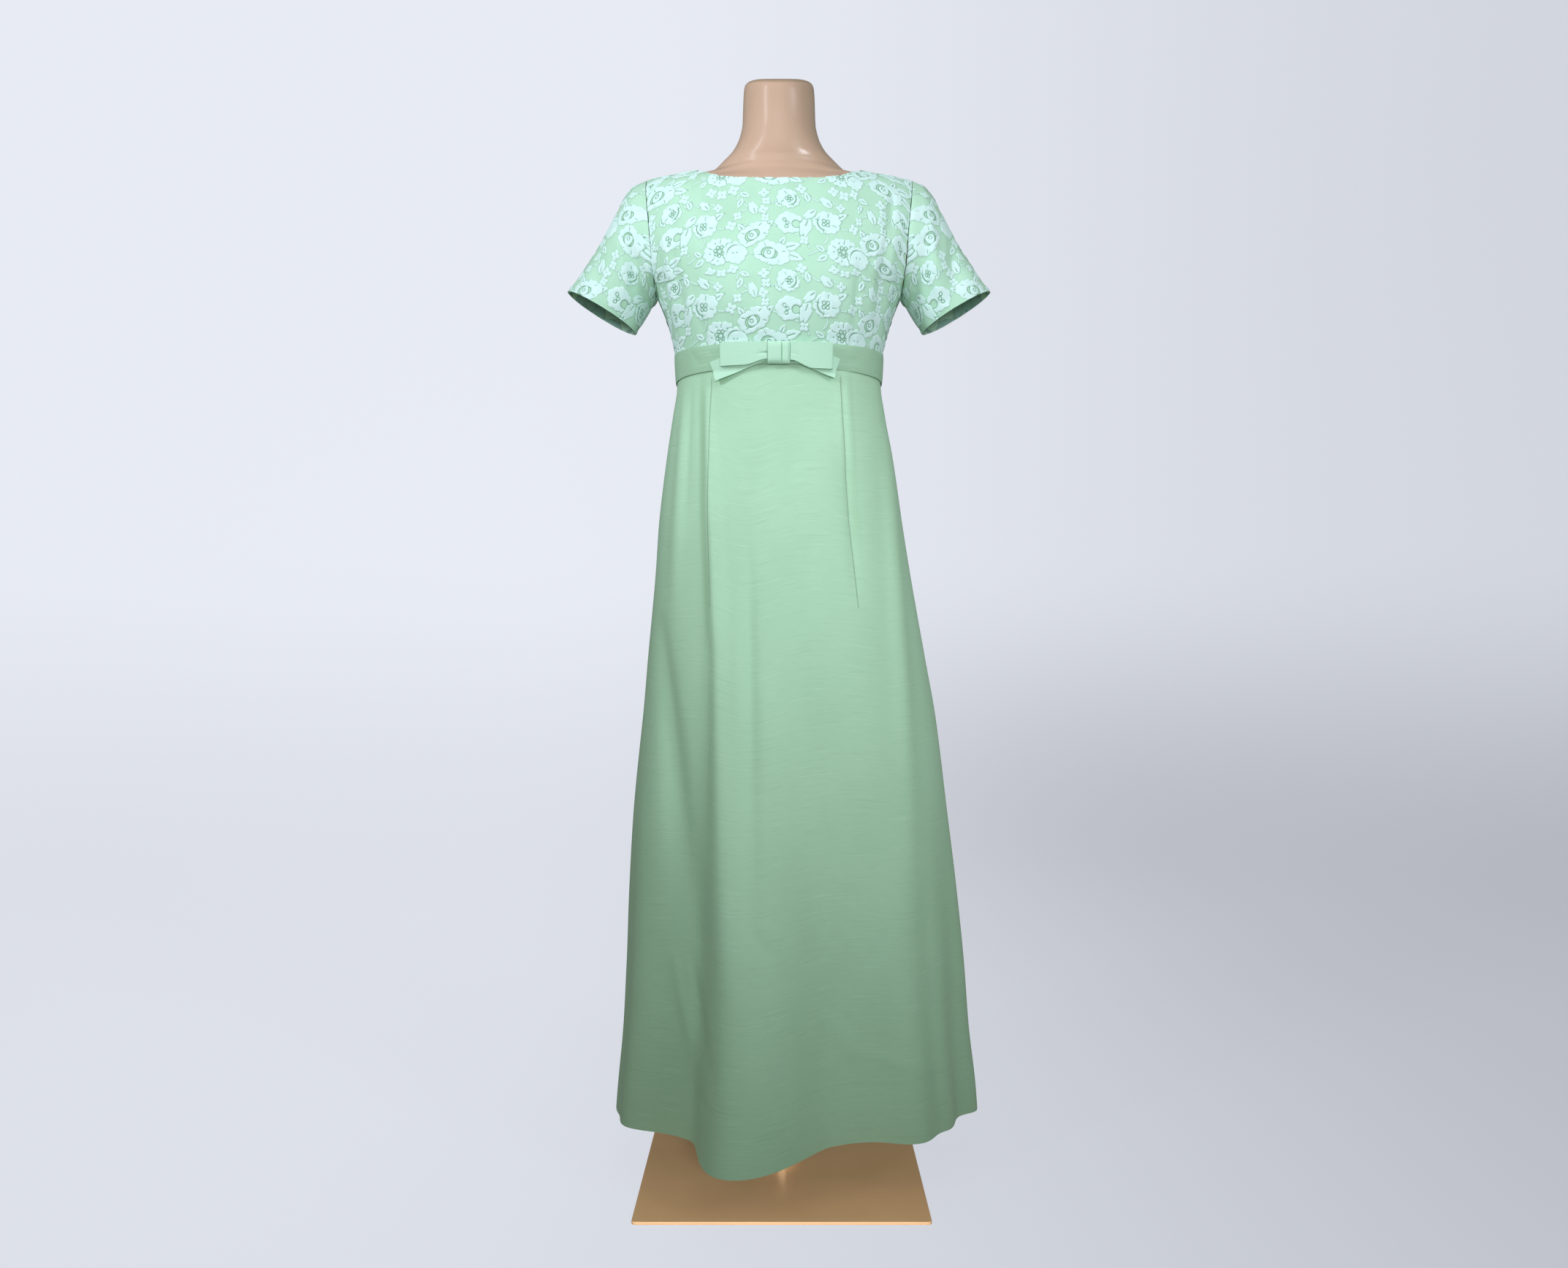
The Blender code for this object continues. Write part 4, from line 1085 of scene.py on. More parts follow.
@dataclass(frozen=True)
class SewingThread:
    """Matched sewing thread with a twist."""

    name: str
    colour: Colour = (0.33, 0.57, 0.4)

    def material(self) -> Material:
        """Build the thread's material."""
        tree = ShaderTree(self.name)
        twist = tree.noise((2400.0, 2400.0, 2400.0), False, 1.0)
        tone = tree.mix(twist * 0.5, self.colour, tuple(part * 0.7 for part in self.colour))
        return tree.finish({"Base Color": tone, "Roughness": 0.6, "Normal": tree.bump(twist, 0.0001, 0.3)})


@dataclass(frozen=True)
class CovePaper:
    """The pale backdrop: it glows a little, brighter on the left, and still takes a shadow."""

    name: str = "pale_cove_paper"
    left: Colour = (0.775, 0.8, 0.87)
    right: Colour = (0.6, 0.622, 0.69)
    floor_left: Colour = (0.885, 0.885, 0.885)
    floor_right: Colour = (0.69, 0.69, 0.695)
    base: Colour = (0.14, 0.142, 0.15)

    def material(self) -> Material:
        """Build the backdrop's material."""
        tree = ShaderTree(self.name)
        across, _, height = tree.axes(False)
        share = tree.band(across - height * 0.1, -1.2, 3.2)
        glow = tree.mix(share, self.left, self.right)
        floor = tree.mix(tree.band(across, -0.7, 1.4), self.floor_left, self.floor_right)
        low = tree.mix(1.0 - tree.band(height, 0.0, 1.1), (1.0, 1.0, 1.0), floor)
        return tree.finish({
            "Base Color": self.base, "Roughness": 0.9, "Emission Color": tree.mix(1.0, glow, low, "MULTIPLY"),
            "Emission Strength": 1.0, "Specular IOR Level": 0.1,
        })


class Motif(NamedTuple):
    """One piece of the lace's drawing: its kind, place, turn and size on the repeat."""

    kind: str
    x: float
    y: float
    turn: float
    size: float


class Stem(NamedTuple):
    """A bowed stem of the lace between two places on the repeat."""

    from_x: float
    from_y: float
    to_x: float
    to_y: float
    bow: float


# The repeat in millimetres, drawn for this gown: garden roses, cupped roses, sprays and florets
REPEAT_WIDTH = 166.0
REPEAT_HEIGHT = 118.0


def motifs(kind: str, *rows: tuple[float, ...]) -> tuple[Motif, ...]:
    """Return motifs of one kind from their places, turns and sizes."""
    return tuple(Motif(kind, *row) for row in rows)


MOTIFS = (
    *motifs(
        "leaf",
        (130, 62, 18, 25), (134, 47, -16, 24), (117, 69, 62, 15), (99, 94, 42, 17), (62, 92, 128, 17),
        (31, 113, 30, 19), (4, 49, 215, 17), (1, 63, 150, 15), (67, 24, -28, 16), (60, 11, -112, 16),
        (150, 20, 110, 16), (112, 5, -60, 14),
    ),
    *motifs("rose", (33, 62, 10, 21.5)),
    *motifs("lobe", (54, 57, -25, 16.5)),
    *motifs("cup", (79, 82, 35, 19), (103, 52, -14, 20.5)),
    *motifs("small_rose", (9, 101, 25, 18.5)),
    *motifs("scroll_rose", (126, 96, 15, 17.5)),
    *motifs("bud", (148, 92, 75, 19), (154, 112, 40, 14)),
    *motifs(
        "floret",
        (20, 33, 10, 8.5), (35, 28, 40, 8.5), (51, 33, 20, 8.5), (92, 24, 0, 8), (95, 11, 45, 7),
        (91, 116, 10, 8), (94, 104, 40, 6.5), (142, 31, 15, 8), (146, 72, 40, 7),
    ),
    *motifs("small_rose", (126, 14, 160, 15.5)),
    *motifs("bud", (78, 2, -70, 14)),
    *motifs("floret", (48, 97, 20, 8), (57, 110, 50, 7)),
    *motifs("bud", (10, 14, -40, 14)),
    *motifs("floret", (30, 8, 0, 7)),
)
STEMS = table(
    Stem,
    (-14, 52, 14, 60, 3), (20, 33, 26, 46, 2), (20, 33, 35, 28, -3), (35, 28, 51, 33, -3),
    (51, 33, 67, 24, 3), (62, 28, 60, 11, -4), (60, 68, 70, 76, 3), (72, 56, 88, 54, -3),
    (79, 82, 100, 96, 5), (74, 90, 57, 96, -3), (112, 56, 140, 63, 4), (112, 52, 145, 45, 4),
    (103, 40, 92, 24, 4), (92, 24, 95, 11, 2), (95, 11, 91, -2, -2), (91, 116, 94, 104, 2),
    (94, 104, 84, 94, 2), (48, 97, 20, 102, 5), (48, 97, 57, 110, 3), (18, 108, 40, 117, 3),
    (9, 88, 6, 70, 4), (126, 96, 148, 80, -8), (148, 92, 154, 106, 3), (114, 90, 94, 104, 4),
    (146, 72, 142, 86, 3), (146, 72, 152, 62, 2), (142, 31, 136, 42, 2), (142, 31, 132, 22, -2),
    (150, 12, 142, 31, 3), (126, 14, 108, 8, 3), (108, 8, 95, 11, 2), (10, 14, 30, 8, 4), (30, 8, 31, 0, 1),
    (10, 14, -14, 24, 4), (57, 110, 78, 119, 4), (78, 2, 64, 14, 3),
)


class Polar(NamedTuple):
    """Points as a motif sees them: how far from its middle and at what angle."""

    reach: Array
    angle: Array

    def turned(self, start: float) -> "Polar":
        """Return the points as seen after a turn."""
        return Polar(self.reach, self.angle - start)

    def nearest(self, count: int, start: float) -> "Polar":
        """Return the points as seen from the nearest of evenly spaced spokes."""
        step = 2.0 * HALF_TURN / count
        return Polar(self.reach, (self.angle - start + step / 2.0) % step - step / 2.0)

    def flat(self) -> tuple[Array, Array]:
        """Return the points' x and y."""
        return self.reach * np.cos(self.angle), self.reach * np.sin(self.angle)

    def shade(self, petals: float) -> Array:
        """Return a shade that rises at the middle of each petal."""
        return 0.5 + 0.5 * np.cos(petals * self.angle)


# A motif's body and its openings, as distances, and its petals' shade
Drawn = tuple[Array, Array, Array]


class LaceRepeat:
    """The lace's drawing over one repeat, as distances in millimetres inside its edges.

    Every shape is worked out from a few sizes: scalloped outlines, rings, slits and stems.
    """

    def __init__(self, cell: float = 0.4, stem_half_width: float = 0.95, line: float = 0.6) -> None:
        """Draw the repeat once.

        Args:
            cell: the drawing's grid, in millimetres.
            stem_half_width: half the width of a stem, in millimetres.
            line: half the width of a drawn line, in millimetres.
        """
        self.columns = int(REPEAT_WIDTH / cell)
        self.rows = int(REPEAT_HEIGHT / cell)
        xs = (np.arange(self.columns) + 0.5) * REPEAT_WIDTH / self.columns
        ys = (np.arange(self.rows) + 0.5) * REPEAT_HEIGHT / self.rows
        self.x, self.y = np.meshgrid(xs, ys)
        self.line = line
        self.solid = np.full(self.x.shape, -9.0)
        self.petal = np.zeros(self.x.shape)
        # Where the openings and the gaps between motifs take painted shade
        self.deep = np.zeros(self.x.shape)
        for stem in STEMS:
            self.add_stem(stem, stem_half_width)
        for motif in MOTIFS:
            self.add_motif(motif)

    def away(self, x: float, y: float) -> tuple[Array, Array]:
        """Return the way from a place to each point, the nearest way round the repeat."""
        across = (self.x - x + REPEAT_WIDTH / 2.0) % REPEAT_WIDTH - REPEAT_WIDTH / 2.0
        up = (self.y - y + REPEAT_HEIGHT / 2.0) % REPEAT_HEIGHT - REPEAT_HEIGHT / 2.0
        return across, up

    def add_motif(self, motif: Motif) -> None:
        """Join one motif to the drawing over what it covers, with a narrow gap round it."""
        gap = 1.0
        across, up = self.away(motif.x, motif.y)
        at = Polar(np.hypot(across, up), np.arctan2(up, across)).turned(math.radians(motif.turn))
        body, cuts, petal = getattr(self, motif.kind)(at, motif.size)
        over = body > -gap
        opening = (body > 0.6) & (cuts < 0.3)
        between = (body <= 0.0) & (self.solid > -0.5)
        # Openings and gaps between motifs are marked for painted shade
        self.deep = np.where(over, np.where(opening | between, 1.0, 0.0), self.deep)
        self.solid = np.where(over, np.minimum(body, cuts), np.maximum(self.solid, body))
        self.petal = np.where(over, petal, self.petal)

    @staticmethod
    def outline(at: Polar, size: float, lobes: int, depth: float) -> Array:
        """Return the reach of an uneven scalloped outline at each angle."""
        wave = 1.0 + 0.07 * np.cos(2.0 * at.angle + 0.6) + 0.045 * np.cos(5.0 * at.angle + size)
        return size * wave * (1.0 - depth + depth * np.abs(np.sin(lobes * at.angle / 2.0)) ** 0.7)

    @staticmethod
    def holes(at: Polar, away: float, radius: float, count: int = 1, start: float = 0.0) -> Array:
        """Return distances outside a ring of round holes."""
        x, y = at.nearest(count, start).flat()
        return np.hypot(x - away, y) - radius

    def circles(self, at: Polar, away: float, radius: float, count: int = 1, start: float = 0.0) -> Array:
        """Return distances outside the drawn lines of a ring of small circles."""
        return np.abs(self.holes(at, away, radius, count, start)) - self.line

    @staticmethod
    def crescent(at: Polar, toward: float, shift: float, outer: float, thick: float) -> Array:
        """Return distances outside a crescent-shaped slit on one side of a motif."""
        way = at.turned(toward)
        x, y = way.flat()
        x = x - shift
        slit = np.maximum(np.hypot(x, y) - outer, outer - np.hypot(x + thick, y * 0.96))
        return np.where(np.cos(way.angle) > 0.0, slit, outer)

    def petal_lines(self, at: Polar, count: int, low: float, high: float, start: float = 0.0) -> Array:
        """Return distances outside the short bowed lines between petals."""
        reach, near = at.nearest(count, start)
        line = np.abs(near * reach + 0.9 * np.sin(reach * 0.35)) - self.line * 0.9
        return np.maximum(line, np.maximum(low - reach, reach - high))

    def rose(self, at: Polar, size: float) -> Drawn:
        """Return a big rose with a beaded eye."""
        cuts = np.minimum.reduce([
            self.circles(at, 0.0, size * 0.13),
            self.circles(at, size * 0.29, size * 0.1, 7),
            self.petal_lines(at, 5, size * 0.5, size * 0.78),
            self.holes(at, size * 0.62, 0.95, 5, 0.6),
        ])
        return self.outline(at, size, 15, 0.13) - at.reach, cuts, at.shade(5.0)

    def lobe(self, at: Polar, size: float) -> Drawn:
        """Return the side lobe of a double rose, with a fold and two small holes."""
        fold = self.crescent(at, 2.6, size * 0.05, size * 0.66, 1.7)
        cuts = np.minimum(self.holes(at, size * 0.16, 1.0, 2, 0.4), fold)
        return self.outline(at, size, 11, 0.14) - at.reach, cuts, at.shade(3.0)

    def small_rose(self, at: Polar, size: float) -> Drawn:
        """Return a rose in three quarter view: a beaded eye within one broad petal's edge."""
        body = self.outline(at, size, 12, 0.14) * (1.0 + 0.1 * np.cos(at.angle)) - at.reach
        cuts = np.minimum.reduce([
            self.circles(at, size * 0.21, size * 0.125, 4, 0.3),
            self.crescent(at, HALF_TURN, size * 0.02, size * 0.64, 2.0),
            self.petal_lines(at, 4, size * 0.5, size * 0.82, 0.8),
        ])
        return body, cuts, at.shade(4.0)

    def cup(self, at: Polar, size: float) -> Drawn:
        """Return a cupped rose: a bud in a wide collar, with the dark opening between them."""
        x, y = at.flat()
        body = self.outline(at, size, 13, 0.11) * (1.0 + 0.16 * np.cos(2.0 * at.angle)) - at.reach
        spot = np.hypot((x + size * 0.16) / 1.25, y + size * 0.05)
        bud = np.abs(spot - size * 0.36) - np.clip(1.15 + 0.8 * np.cos(2.0 * at.angle + 0.5), 0.4, 1.7)
        heart = np.abs(np.hypot(x + size * 0.2, y) - size * 0.12) - self.line
        lines = self.petal_lines(at, 6, size * 0.64, size * 0.9, 0.3)
        return body, np.minimum.reduce([bud, heart, lines]), at.shade(3.0)

    def scroll_rose(self, at: Polar, size: float) -> Drawn:
        """Return a curled petal round an opening, with a bowed chain of rings."""
        cuts = [self.holes(at, size * 0.52, size * 0.34, 1, -0.4)]
        for turn, away in ((2.36, 0.42), (HALF_TURN, 0.14), (3.9, 0.4)):
            cuts.append(self.circles(at, size * away, size * 0.13, 1, turn))
        body = self.outline(at, size, 10, 0.12) - at.reach
        return body, np.minimum.reduce(cuts), at.shade(3.0)

    def floret(self, at: Polar, size: float) -> Drawn:
        """Return a small four-petalled floret with a pierced eye."""
        body = size * (0.4 + 0.6 * np.abs(np.cos(2.0 * at.angle)) ** 0.8) - at.reach
        return body, self.holes(at, 0.0, 0.9), np.full(body.shape, 0.4)

    def bud(self, at: Polar, size: float) -> Drawn:
        """Return a closed bud on a split calyx."""
        x, y = at.flat()
        bulb = size * 0.36 - np.hypot((x - size * 0.18) / 1.45, y)
        calyx = size * 0.3 * np.clip(1.0 + x / size, 0.0, 1.0) - np.abs(np.abs(y) - size * 0.14)
        calyx = np.minimum(calyx, size * 0.5 - np.abs(x + size * 0.28))
        slit = np.maximum(np.abs(y + 0.1 * x - 0.6) - self.line, np.abs(x - size * 0.3) - size * 0.26)
        return np.maximum(bulb, calyx), slit, 0.5 + 0.4 * np.clip(x / size, -1.0, 1.0)

    def leaf(self, at: Polar, size: float) -> Drawn:
        """Return a pointed toothed leaf with an open vein."""
        x, y = at.flat()
        along = np.clip(x / size + 0.5, 0.0, 1.0)
        half = size * 0.235 * np.sin(HALF_TURN * along ** 0.75) * (1.0 + 0.2 * np.abs(np.sin(along * 13.0)))
        beyond = -np.maximum(np.abs(x) - size * 0.5, np.abs(y))
        body = np.where(np.abs(x) < size * 0.5, half - np.abs(y), beyond)
        vein = np.maximum(np.abs(y) - self.line, np.abs(along - 0.45) * size - size * 0.22)
        return body, vein, along

    def add_stem(self, stem: Stem, half_width: float) -> None:
        """Join a bowed stem to the drawing."""
        way_x, way_y = stem.to_x - stem.from_x, stem.to_y - stem.from_y
        length = math.hypot(way_x, way_y)
        for part in np.linspace(0.0, 1.0, int(length) + 2):
            bow = stem.bow * math.sin(HALF_TURN * part) / length
            x = stem.from_x + way_x * part - way_y * bow
            across, up = self.away(x, stem.from_y + way_y * part + way_x * bow)
            self.solid = np.maximum(self.solid, half_width - np.hypot(across, up))

    def sample(self, places: Array) -> tuple[Array, ...]:
        """Return the drawing, its petals' shade and its painted gap shade at places on the cloth, in metres.
        """
        column = (places[..., 0] * 1000.0 / REPEAT_WIDTH * self.columns - 0.5) % self.columns
        row = (places[..., 1] * 1000.0 / REPEAT_HEIGHT * self.rows - 0.5) % self.rows
        left = np.floor(column).astype(int)
        low = np.floor(row).astype(int)
        across = column - left
        up = row - low
        sides = (left % self.columns, (left + 1) % self.columns)
        ends = (low % self.rows, (low + 1) % self.rows)

        def blend(drawing: Array) -> Array:
            """Return a drawing between its grid points."""
            bottom, top = (
                drawing[end, sides[0]] * (1.0 - across) + drawing[end, sides[1]] * across for end in ends
            )
            return bottom * (1.0 - up) + top * up

        return blend(self.solid), blend(self.petal), blend(self.deep)


@dataclass(frozen=True)
class LaceCutter:
    """Cuts the lace out of a fine cloth grid and raises its worked parts off the satin, keeping a flat rim
    round them that carries painted shadow.
    """

    repeat: LaceRepeat
    lift: float = 0.00065
    petal_lift: float = 0.00025
    shoulder: float = 0.9
    seat: float = 0.00018
    # Width in millimetres of the flat rim round the worked parts that carries painted shadow
    rim: float = 0.95

    def cut(self, names: Sequence[str], grid: ClothGrid, offset: Couple, inside: bool = False) -> list[Piece]:
        """Return the lace on a grid of cloth.

        Args:
            names: the pieces' names; they share the grid's columns from first to last.
            grid: the cloth, finer than a stem of the lace.
            offset: where the cloth's zero lies on the repeat, in metres.
            inside: whether the lace shows on the inner side.

        Returns:
            The lace as thin raised sheets.
        """
        places = grid.cloth_places()
        solid, petal, deep = self.repeat.sample(places + np.array(offset))
        full = np.concatenate([grid.points, grid.out, places, np.stack([petal, deep], axis=-1)], axis=-1)
        if grid.closed:
            full = np.concatenate([full, full[:, :1]], axis=1)
            solid = np.concatenate([solid, solid[:, :1]], axis=1)
        ends = np.linspace(0, solid.shape[1] - 1, len(names) + 1).astype(int)
        return [
            self.sheet(name, full[:, start:end + 1], solid[:, start:end + 1], inside)
            for name, start, end in zip(names, ends, ends[1:])
        ]

    def sheet(self, name: str, full: Array, solid: Array, inside: bool) -> Piece:
        """Return one sheet of lace from the numbers at each grid point and the drawing there."""
        kept, faces, height = cut_above_zero(full.reshape(-1, full.shape[-1]), solid + self.rim)
        height = height - self.rim
        rise = np.sqrt(np.clip(height / self.shoulder, 0.0, 1.0))
        raised = self.seat + (self.lift + self.petal_lift * kept[:, 8]) * rise
        if inside:
            raised = -(CLOTH + self.seat + self.lift * 0.3 * rise)
        spots = kept[:, :3] + kept[:, 3:6] * raised[:, None]
        values = {"edge": np.clip(height, -1.0, 2.0), "petal": kept[:, 8], "deep": kept[:, 9]}
        made = make_object(name, spots, faces, kept[:, 6:8], values)
        self.face_out(made, faces, spots, kept[:, 3:6] * (-1.0 if inside else 1.0))
        return made

    @staticmethod
    def face_out(piece: Piece, faces: Array, spots: Array, out: Array) -> None:
        """Flip the sheet if its faces look inwards."""
        corners = spots[faces[:, :3]]
        across = np.cross(corners[:, 1] - corners[:, 0], corners[:, 2] - corners[:, 0])
        if float((across * out[faces[:, 0]]).sum()) < 0.0:
            piece.data.flip_normals()


def cut_above_zero(full: Array, solid: Array) -> tuple[Array, Array, Array]:
    """Cut a grid of rows of numbers where a field is above zero.

    Args:
        full: all numbers of each grid point, one row each.
        solid: the field on the grid.

    Returns:
        The kept points' numbers, the triangles between them and the field at each.
    """
    rows, columns = solid.shape
    quads = grid_faces(rows, columns, False)
    value = solid.ravel()
    quads = quads[(value[quads] > 0.0).any(axis=1)]
    triangles = np.concatenate([quads[:, [0, 1, 2]], quads[:, [0, 2, 3]]])
    above = value[triangles] > 0.0
    count = above.sum(axis=1)
    whole = triangles[count == 3]

    def led_by(chosen: Array, lead: Array) -> Array:
        """Return triangles turned so that the lead corner comes first."""
        first = lead.argmax(axis=1)
        order = (first[:, None] + np.arange(3)) % 3
        return np.take_along_axis(chosen, order, axis=1)

    single = led_by(triangles[count == 1], above[count == 1])
    double = led_by(triangles[count == 2], ~above[count == 2])
    edges = np.concatenate([single[:, [0, 1]], single[:, [0, 2]], double[:, [0, 1]], double[:, [0, 2]]])
    low_end = edges.min(axis=1).astype(np.int64)
    high_end = edges.max(axis=1).astype(np.int64)
    keys, place = np.unique(low_end * len(value) + high_end, return_inverse=True)
    low_end, high_end = keys // len(value), keys % len(value)
    share = (value[low_end] / (value[low_end] - value[high_end]))[:, None]
    crossing = full[low_end] * (1.0 - share) + full[high_end] * share
    place = place.ravel() + len(value)
    ones, twos = len(single), len(double)
    single_a, single_b = place[:ones], place[ones:2 * ones]
    double_a, double_b = place[2 * ones:2 * ones + twos], place[2 * ones + twos:]
    faces = np.concatenate([
        whole,
        np.stack([single[:, 0], single_a, single_b], axis=1),
        np.stack([double_a, double[:, 1], double[:, 2]], axis=1),
        np.stack([double_a, double[:, 2], double_b], axis=1),
    ])
    everything = np.concatenate([full, crossing])
    heights = np.concatenate([value, np.zeros(len(crossing))])
    used, faces = np.unique(faces, return_inverse=True)
    return everything[used], faces.reshape(-1, 3), heights[used]


class StitchRow:
    """Rows of short stitches along a path, made by Geometry Nodes."""

    nodes = {
        "source": "NodeGroupInput", "to_curve": "GeometryNodeMeshToCurve",
        "resample": "GeometryNodeResampleCurve", "tangent": "GeometryNodeInputTangent",
        "turn": "FunctionNodeAlignRotationToVector", "half": "ShaderNodeMath",
        "scale": "ShaderNodeCombineXYZ", "bead": "GeometryNodeMeshIcoSphere",
        "place": "GeometryNodeInstanceOnPoints", "real": "GeometryNodeRealizeInstances",
        "dress": "GeometryNodeSetMaterial", "target": "NodeGroupOutput",
    }
    links = (
        ("source.Geometry", "to_curve.Mesh"), ("to_curve.Curve", "resample.Curve"),
        ("source.Pitch", "resample.Length"), ("resample.Curve", "place.Points"),
        ("bead.Mesh", "place.Instance"), ("tangent.Tangent", "turn.Vector"),
        ("turn.Rotation", "place.Rotation"), ("source.Stitch Length", "half.Value"),
        ("half.Value", "scale.X"), ("source.Thread Radius", "scale.Y"),
        ("source.Thread Radius", "scale.Z"), ("scale.Vector", "place.Scale"),
        ("place.Instances", "real.Geometry"), ("real.Geometry", "dress.Geometry"),
        ("dress.Geometry", "target.Geometry"),
    )

    def __init__(self, material: Material) -> None:
        """Build the node tree, which sets the thread's material."""
        self.tree = tree = bpy.data.node_groups.new("stitch_row", "GeometryNodeTree")
        add = tree.interface.new_socket
        add("Geometry", in_out="INPUT", socket_type="NodeSocketGeometry")
        self.sockets = {
            label: add(label, in_out="INPUT", socket_type="NodeSocketFloat").identifier
            for label in ("Pitch", "Stitch Length", "Thread Radius")
        }
        add("Geometry", in_out="OUTPUT", socket_type="NodeSocketGeometry")
        node = {label: tree.nodes.new(kind) for label, kind in self.nodes.items()}
        node["resample"].mode = "LENGTH"
        node["turn"].axis = "X"
        node["half"].operation = "MULTIPLY"
        node["half"].inputs[1].default_value = 0.5
        node["bead"].inputs["Radius"].default_value = 1.0
        node["bead"].inputs["Subdivisions"].default_value = 1
        node["dress"].inputs["Material"].default_value = material
        for link in self.links:
            start, end = (name.split(".") for name in link)
            tree.links.new(node[start[0]].outputs[start[1]], node[end[0]].inputs[end[1]])

    def sew(self, name: str, paths: Sequence[Array], pitch: float, length: float, radius: float) -> Piece:
        """Return the stitches along paths as one plain mesh.

        Args:
            name: the piece's name.
            paths: rows of points just above the cloth.
            pitch: from one stitch to the next.
            length: a stitch's own length.
            radius: half the thread's thickness.

        Returns:
            The stitches' object.
        """
        points: list[list[float]] = []
        edges: list[tuple[int, int]] = []
        for path in paths:
            start = len(points)
            points += path.tolist()
            edges += [(start + step, start + step + 1) for step in range(len(path) - 1)]
        guide_mesh = bpy.data.meshes.new(name + "_path")
        guide_mesh.from_pydata(points, edges, [])
        guide = link_object(name + "_path", guide_mesh)
        modifier = guide.modifiers.new("stitches", "NODES")
        modifier.node_group = self.tree
        for socket, value in zip(self.sockets.values(), (pitch, length, radius)):
            modifier[socket] = value
        view = bpy.context.evaluated_depsgraph_get()
        mesh = bpy.data.meshes.new_from_object(guide.evaluated_get(view), depsgraph=view)
        mesh.name = name
        mesh.shade_smooth()
        bpy.data.objects.remove(guide, do_unlink=True)
        return link_object(name, mesh)


@dataclass(frozen=True)
class Finishes:
    """Every material of the part, made once."""

    skirt: Material
    plain: Material
    bow: Material
    band: Material
    netted: Material
    lace: Material
    lace_inside: Material
    plastic: Material
    bronze: Material
    gold: Material


def dress(piece: Piece, material: Material | None, replaces: Sequence[str] = ()) -> None:
    """Give a piece its material if one is given, attach it to its body and hide the solids that it stands
    for.
    """
    if material:
        piece.data.materials.append(material)
    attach(piece, ROOT_BODY)
    if replaces:
        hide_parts(*replaces)
    LOG.info("%s: %d faces", piece.name, len(piece.data.polygons))


def declare(piece: Piece, grid: ClothGrid, hold: Hold) -> None:
    """State the flat cut of a piece of cloth."""
    width, length, area = grid.flat_size()
    LOG.info("%s: cut %.3f by %.3f m, %.4f square metres", piece.name, width, length, area)


def make_up(
    name: str, grid: ClothGrid, wall: float, material: Material, hold: Hold
) -> None:
    """Make one cut piece of plain satin.

    Args:
        name: the solid that it stands for.
        grid: its cloth.
        wall: the cloth's thickness.
        material: its finish.
        hold: how it is held; not used.
    """
    made = grid.wall(name + "_satin", wall)
    dress(made, material, [name])
    declare(made, grid, hold)


@dataclass
class Bodice:
    """The bodice's front and two backs, each under its lace."""

    shape: GownShape
    finishes: Finishes
    cutter: LaceCutter
    front_columns: int = 170
    back_columns: int = 80
    rows: int = 84
    front_lace: tuple[int, int] = (520, 370)
    back_lace: tuple[int, int] = (172, 275)
    front_offset: Couple = (0.112, 0.046)
    back_offset: Couple = (0.06, 0.012)
    crowding: float = 1.35
    under_band: float = 0.003

    def levels(self, count: int, start: float = 0.0) -> Array:
        """Return row levels that crowd together over the shoulder."""
        even = np.linspace(0.0, 1.0, count + 1)
        return start + (1.0 - start) * (1.0 - (1.0 - even) ** self.crowding)

    def build(self) -> None:
        """Build the three panels and their lace."""
        self.panel("bodice_front", np.linspace(-1.0, 1.0, self.front_columns + 1), True, BODICE_FRONT_CREASES)
        for side in Side:
            shares = np.linspace(0.0, side.value, self.back_columns + 1)
            self.panel(f"bodice_back_{side.word}", shares, False, BODICE_BACK_CREASES)

    def grid(self, shares: Array, levels: Array, is_front: bool, creases: Sequence[Crease]) -> ClothGrid:
        """Return a panel's creased cloth."""
        middle = len(shares) // 2 if is_front else 0
        facing = FRONTWARD if is_front else BACKWARD
        made = ClothGrid(self.shape.bodice_grid(shares, levels, is_front), facing, zero_column=middle)
        made.draw_in(SEAM_GAP / 2.0)
        made.refresh()
        made.crease(creases)
        return made

    def panel(self, name: str, shares: Array, is_front: bool, creases: Sequence[Crease]) -> None:
        """Build one panel and the lace on it."""
        cloth = self.grid(shares, self.levels(self.rows), is_front, creases)
        satin = cloth.wall(name + "_satin", CLOTH)
        dress(satin, self.finishes.netted, [name])
        columns, rows = self.front_lace if is_front else self.back_lace
        start = (BAND_TOP - self.under_band - WAIST_SEAM) / (NECK_POINT - WAIST_SEAM)
        fine = self.grid(
            np.linspace(shares[0], shares[-1], columns + 1), self.levels(rows, start), is_front, creases
        )
        names = [name + "_lace_right", name + "_lace_left"] if is_front else [name + "_lace"]
        lace = self.cutter.cut(names, fine, self.front_offset if is_front else self.back_offset)
        for piece in lace:
            dress(piece, self.finishes.lace)
        declare(satin, cloth, Hold.STRETCHED)


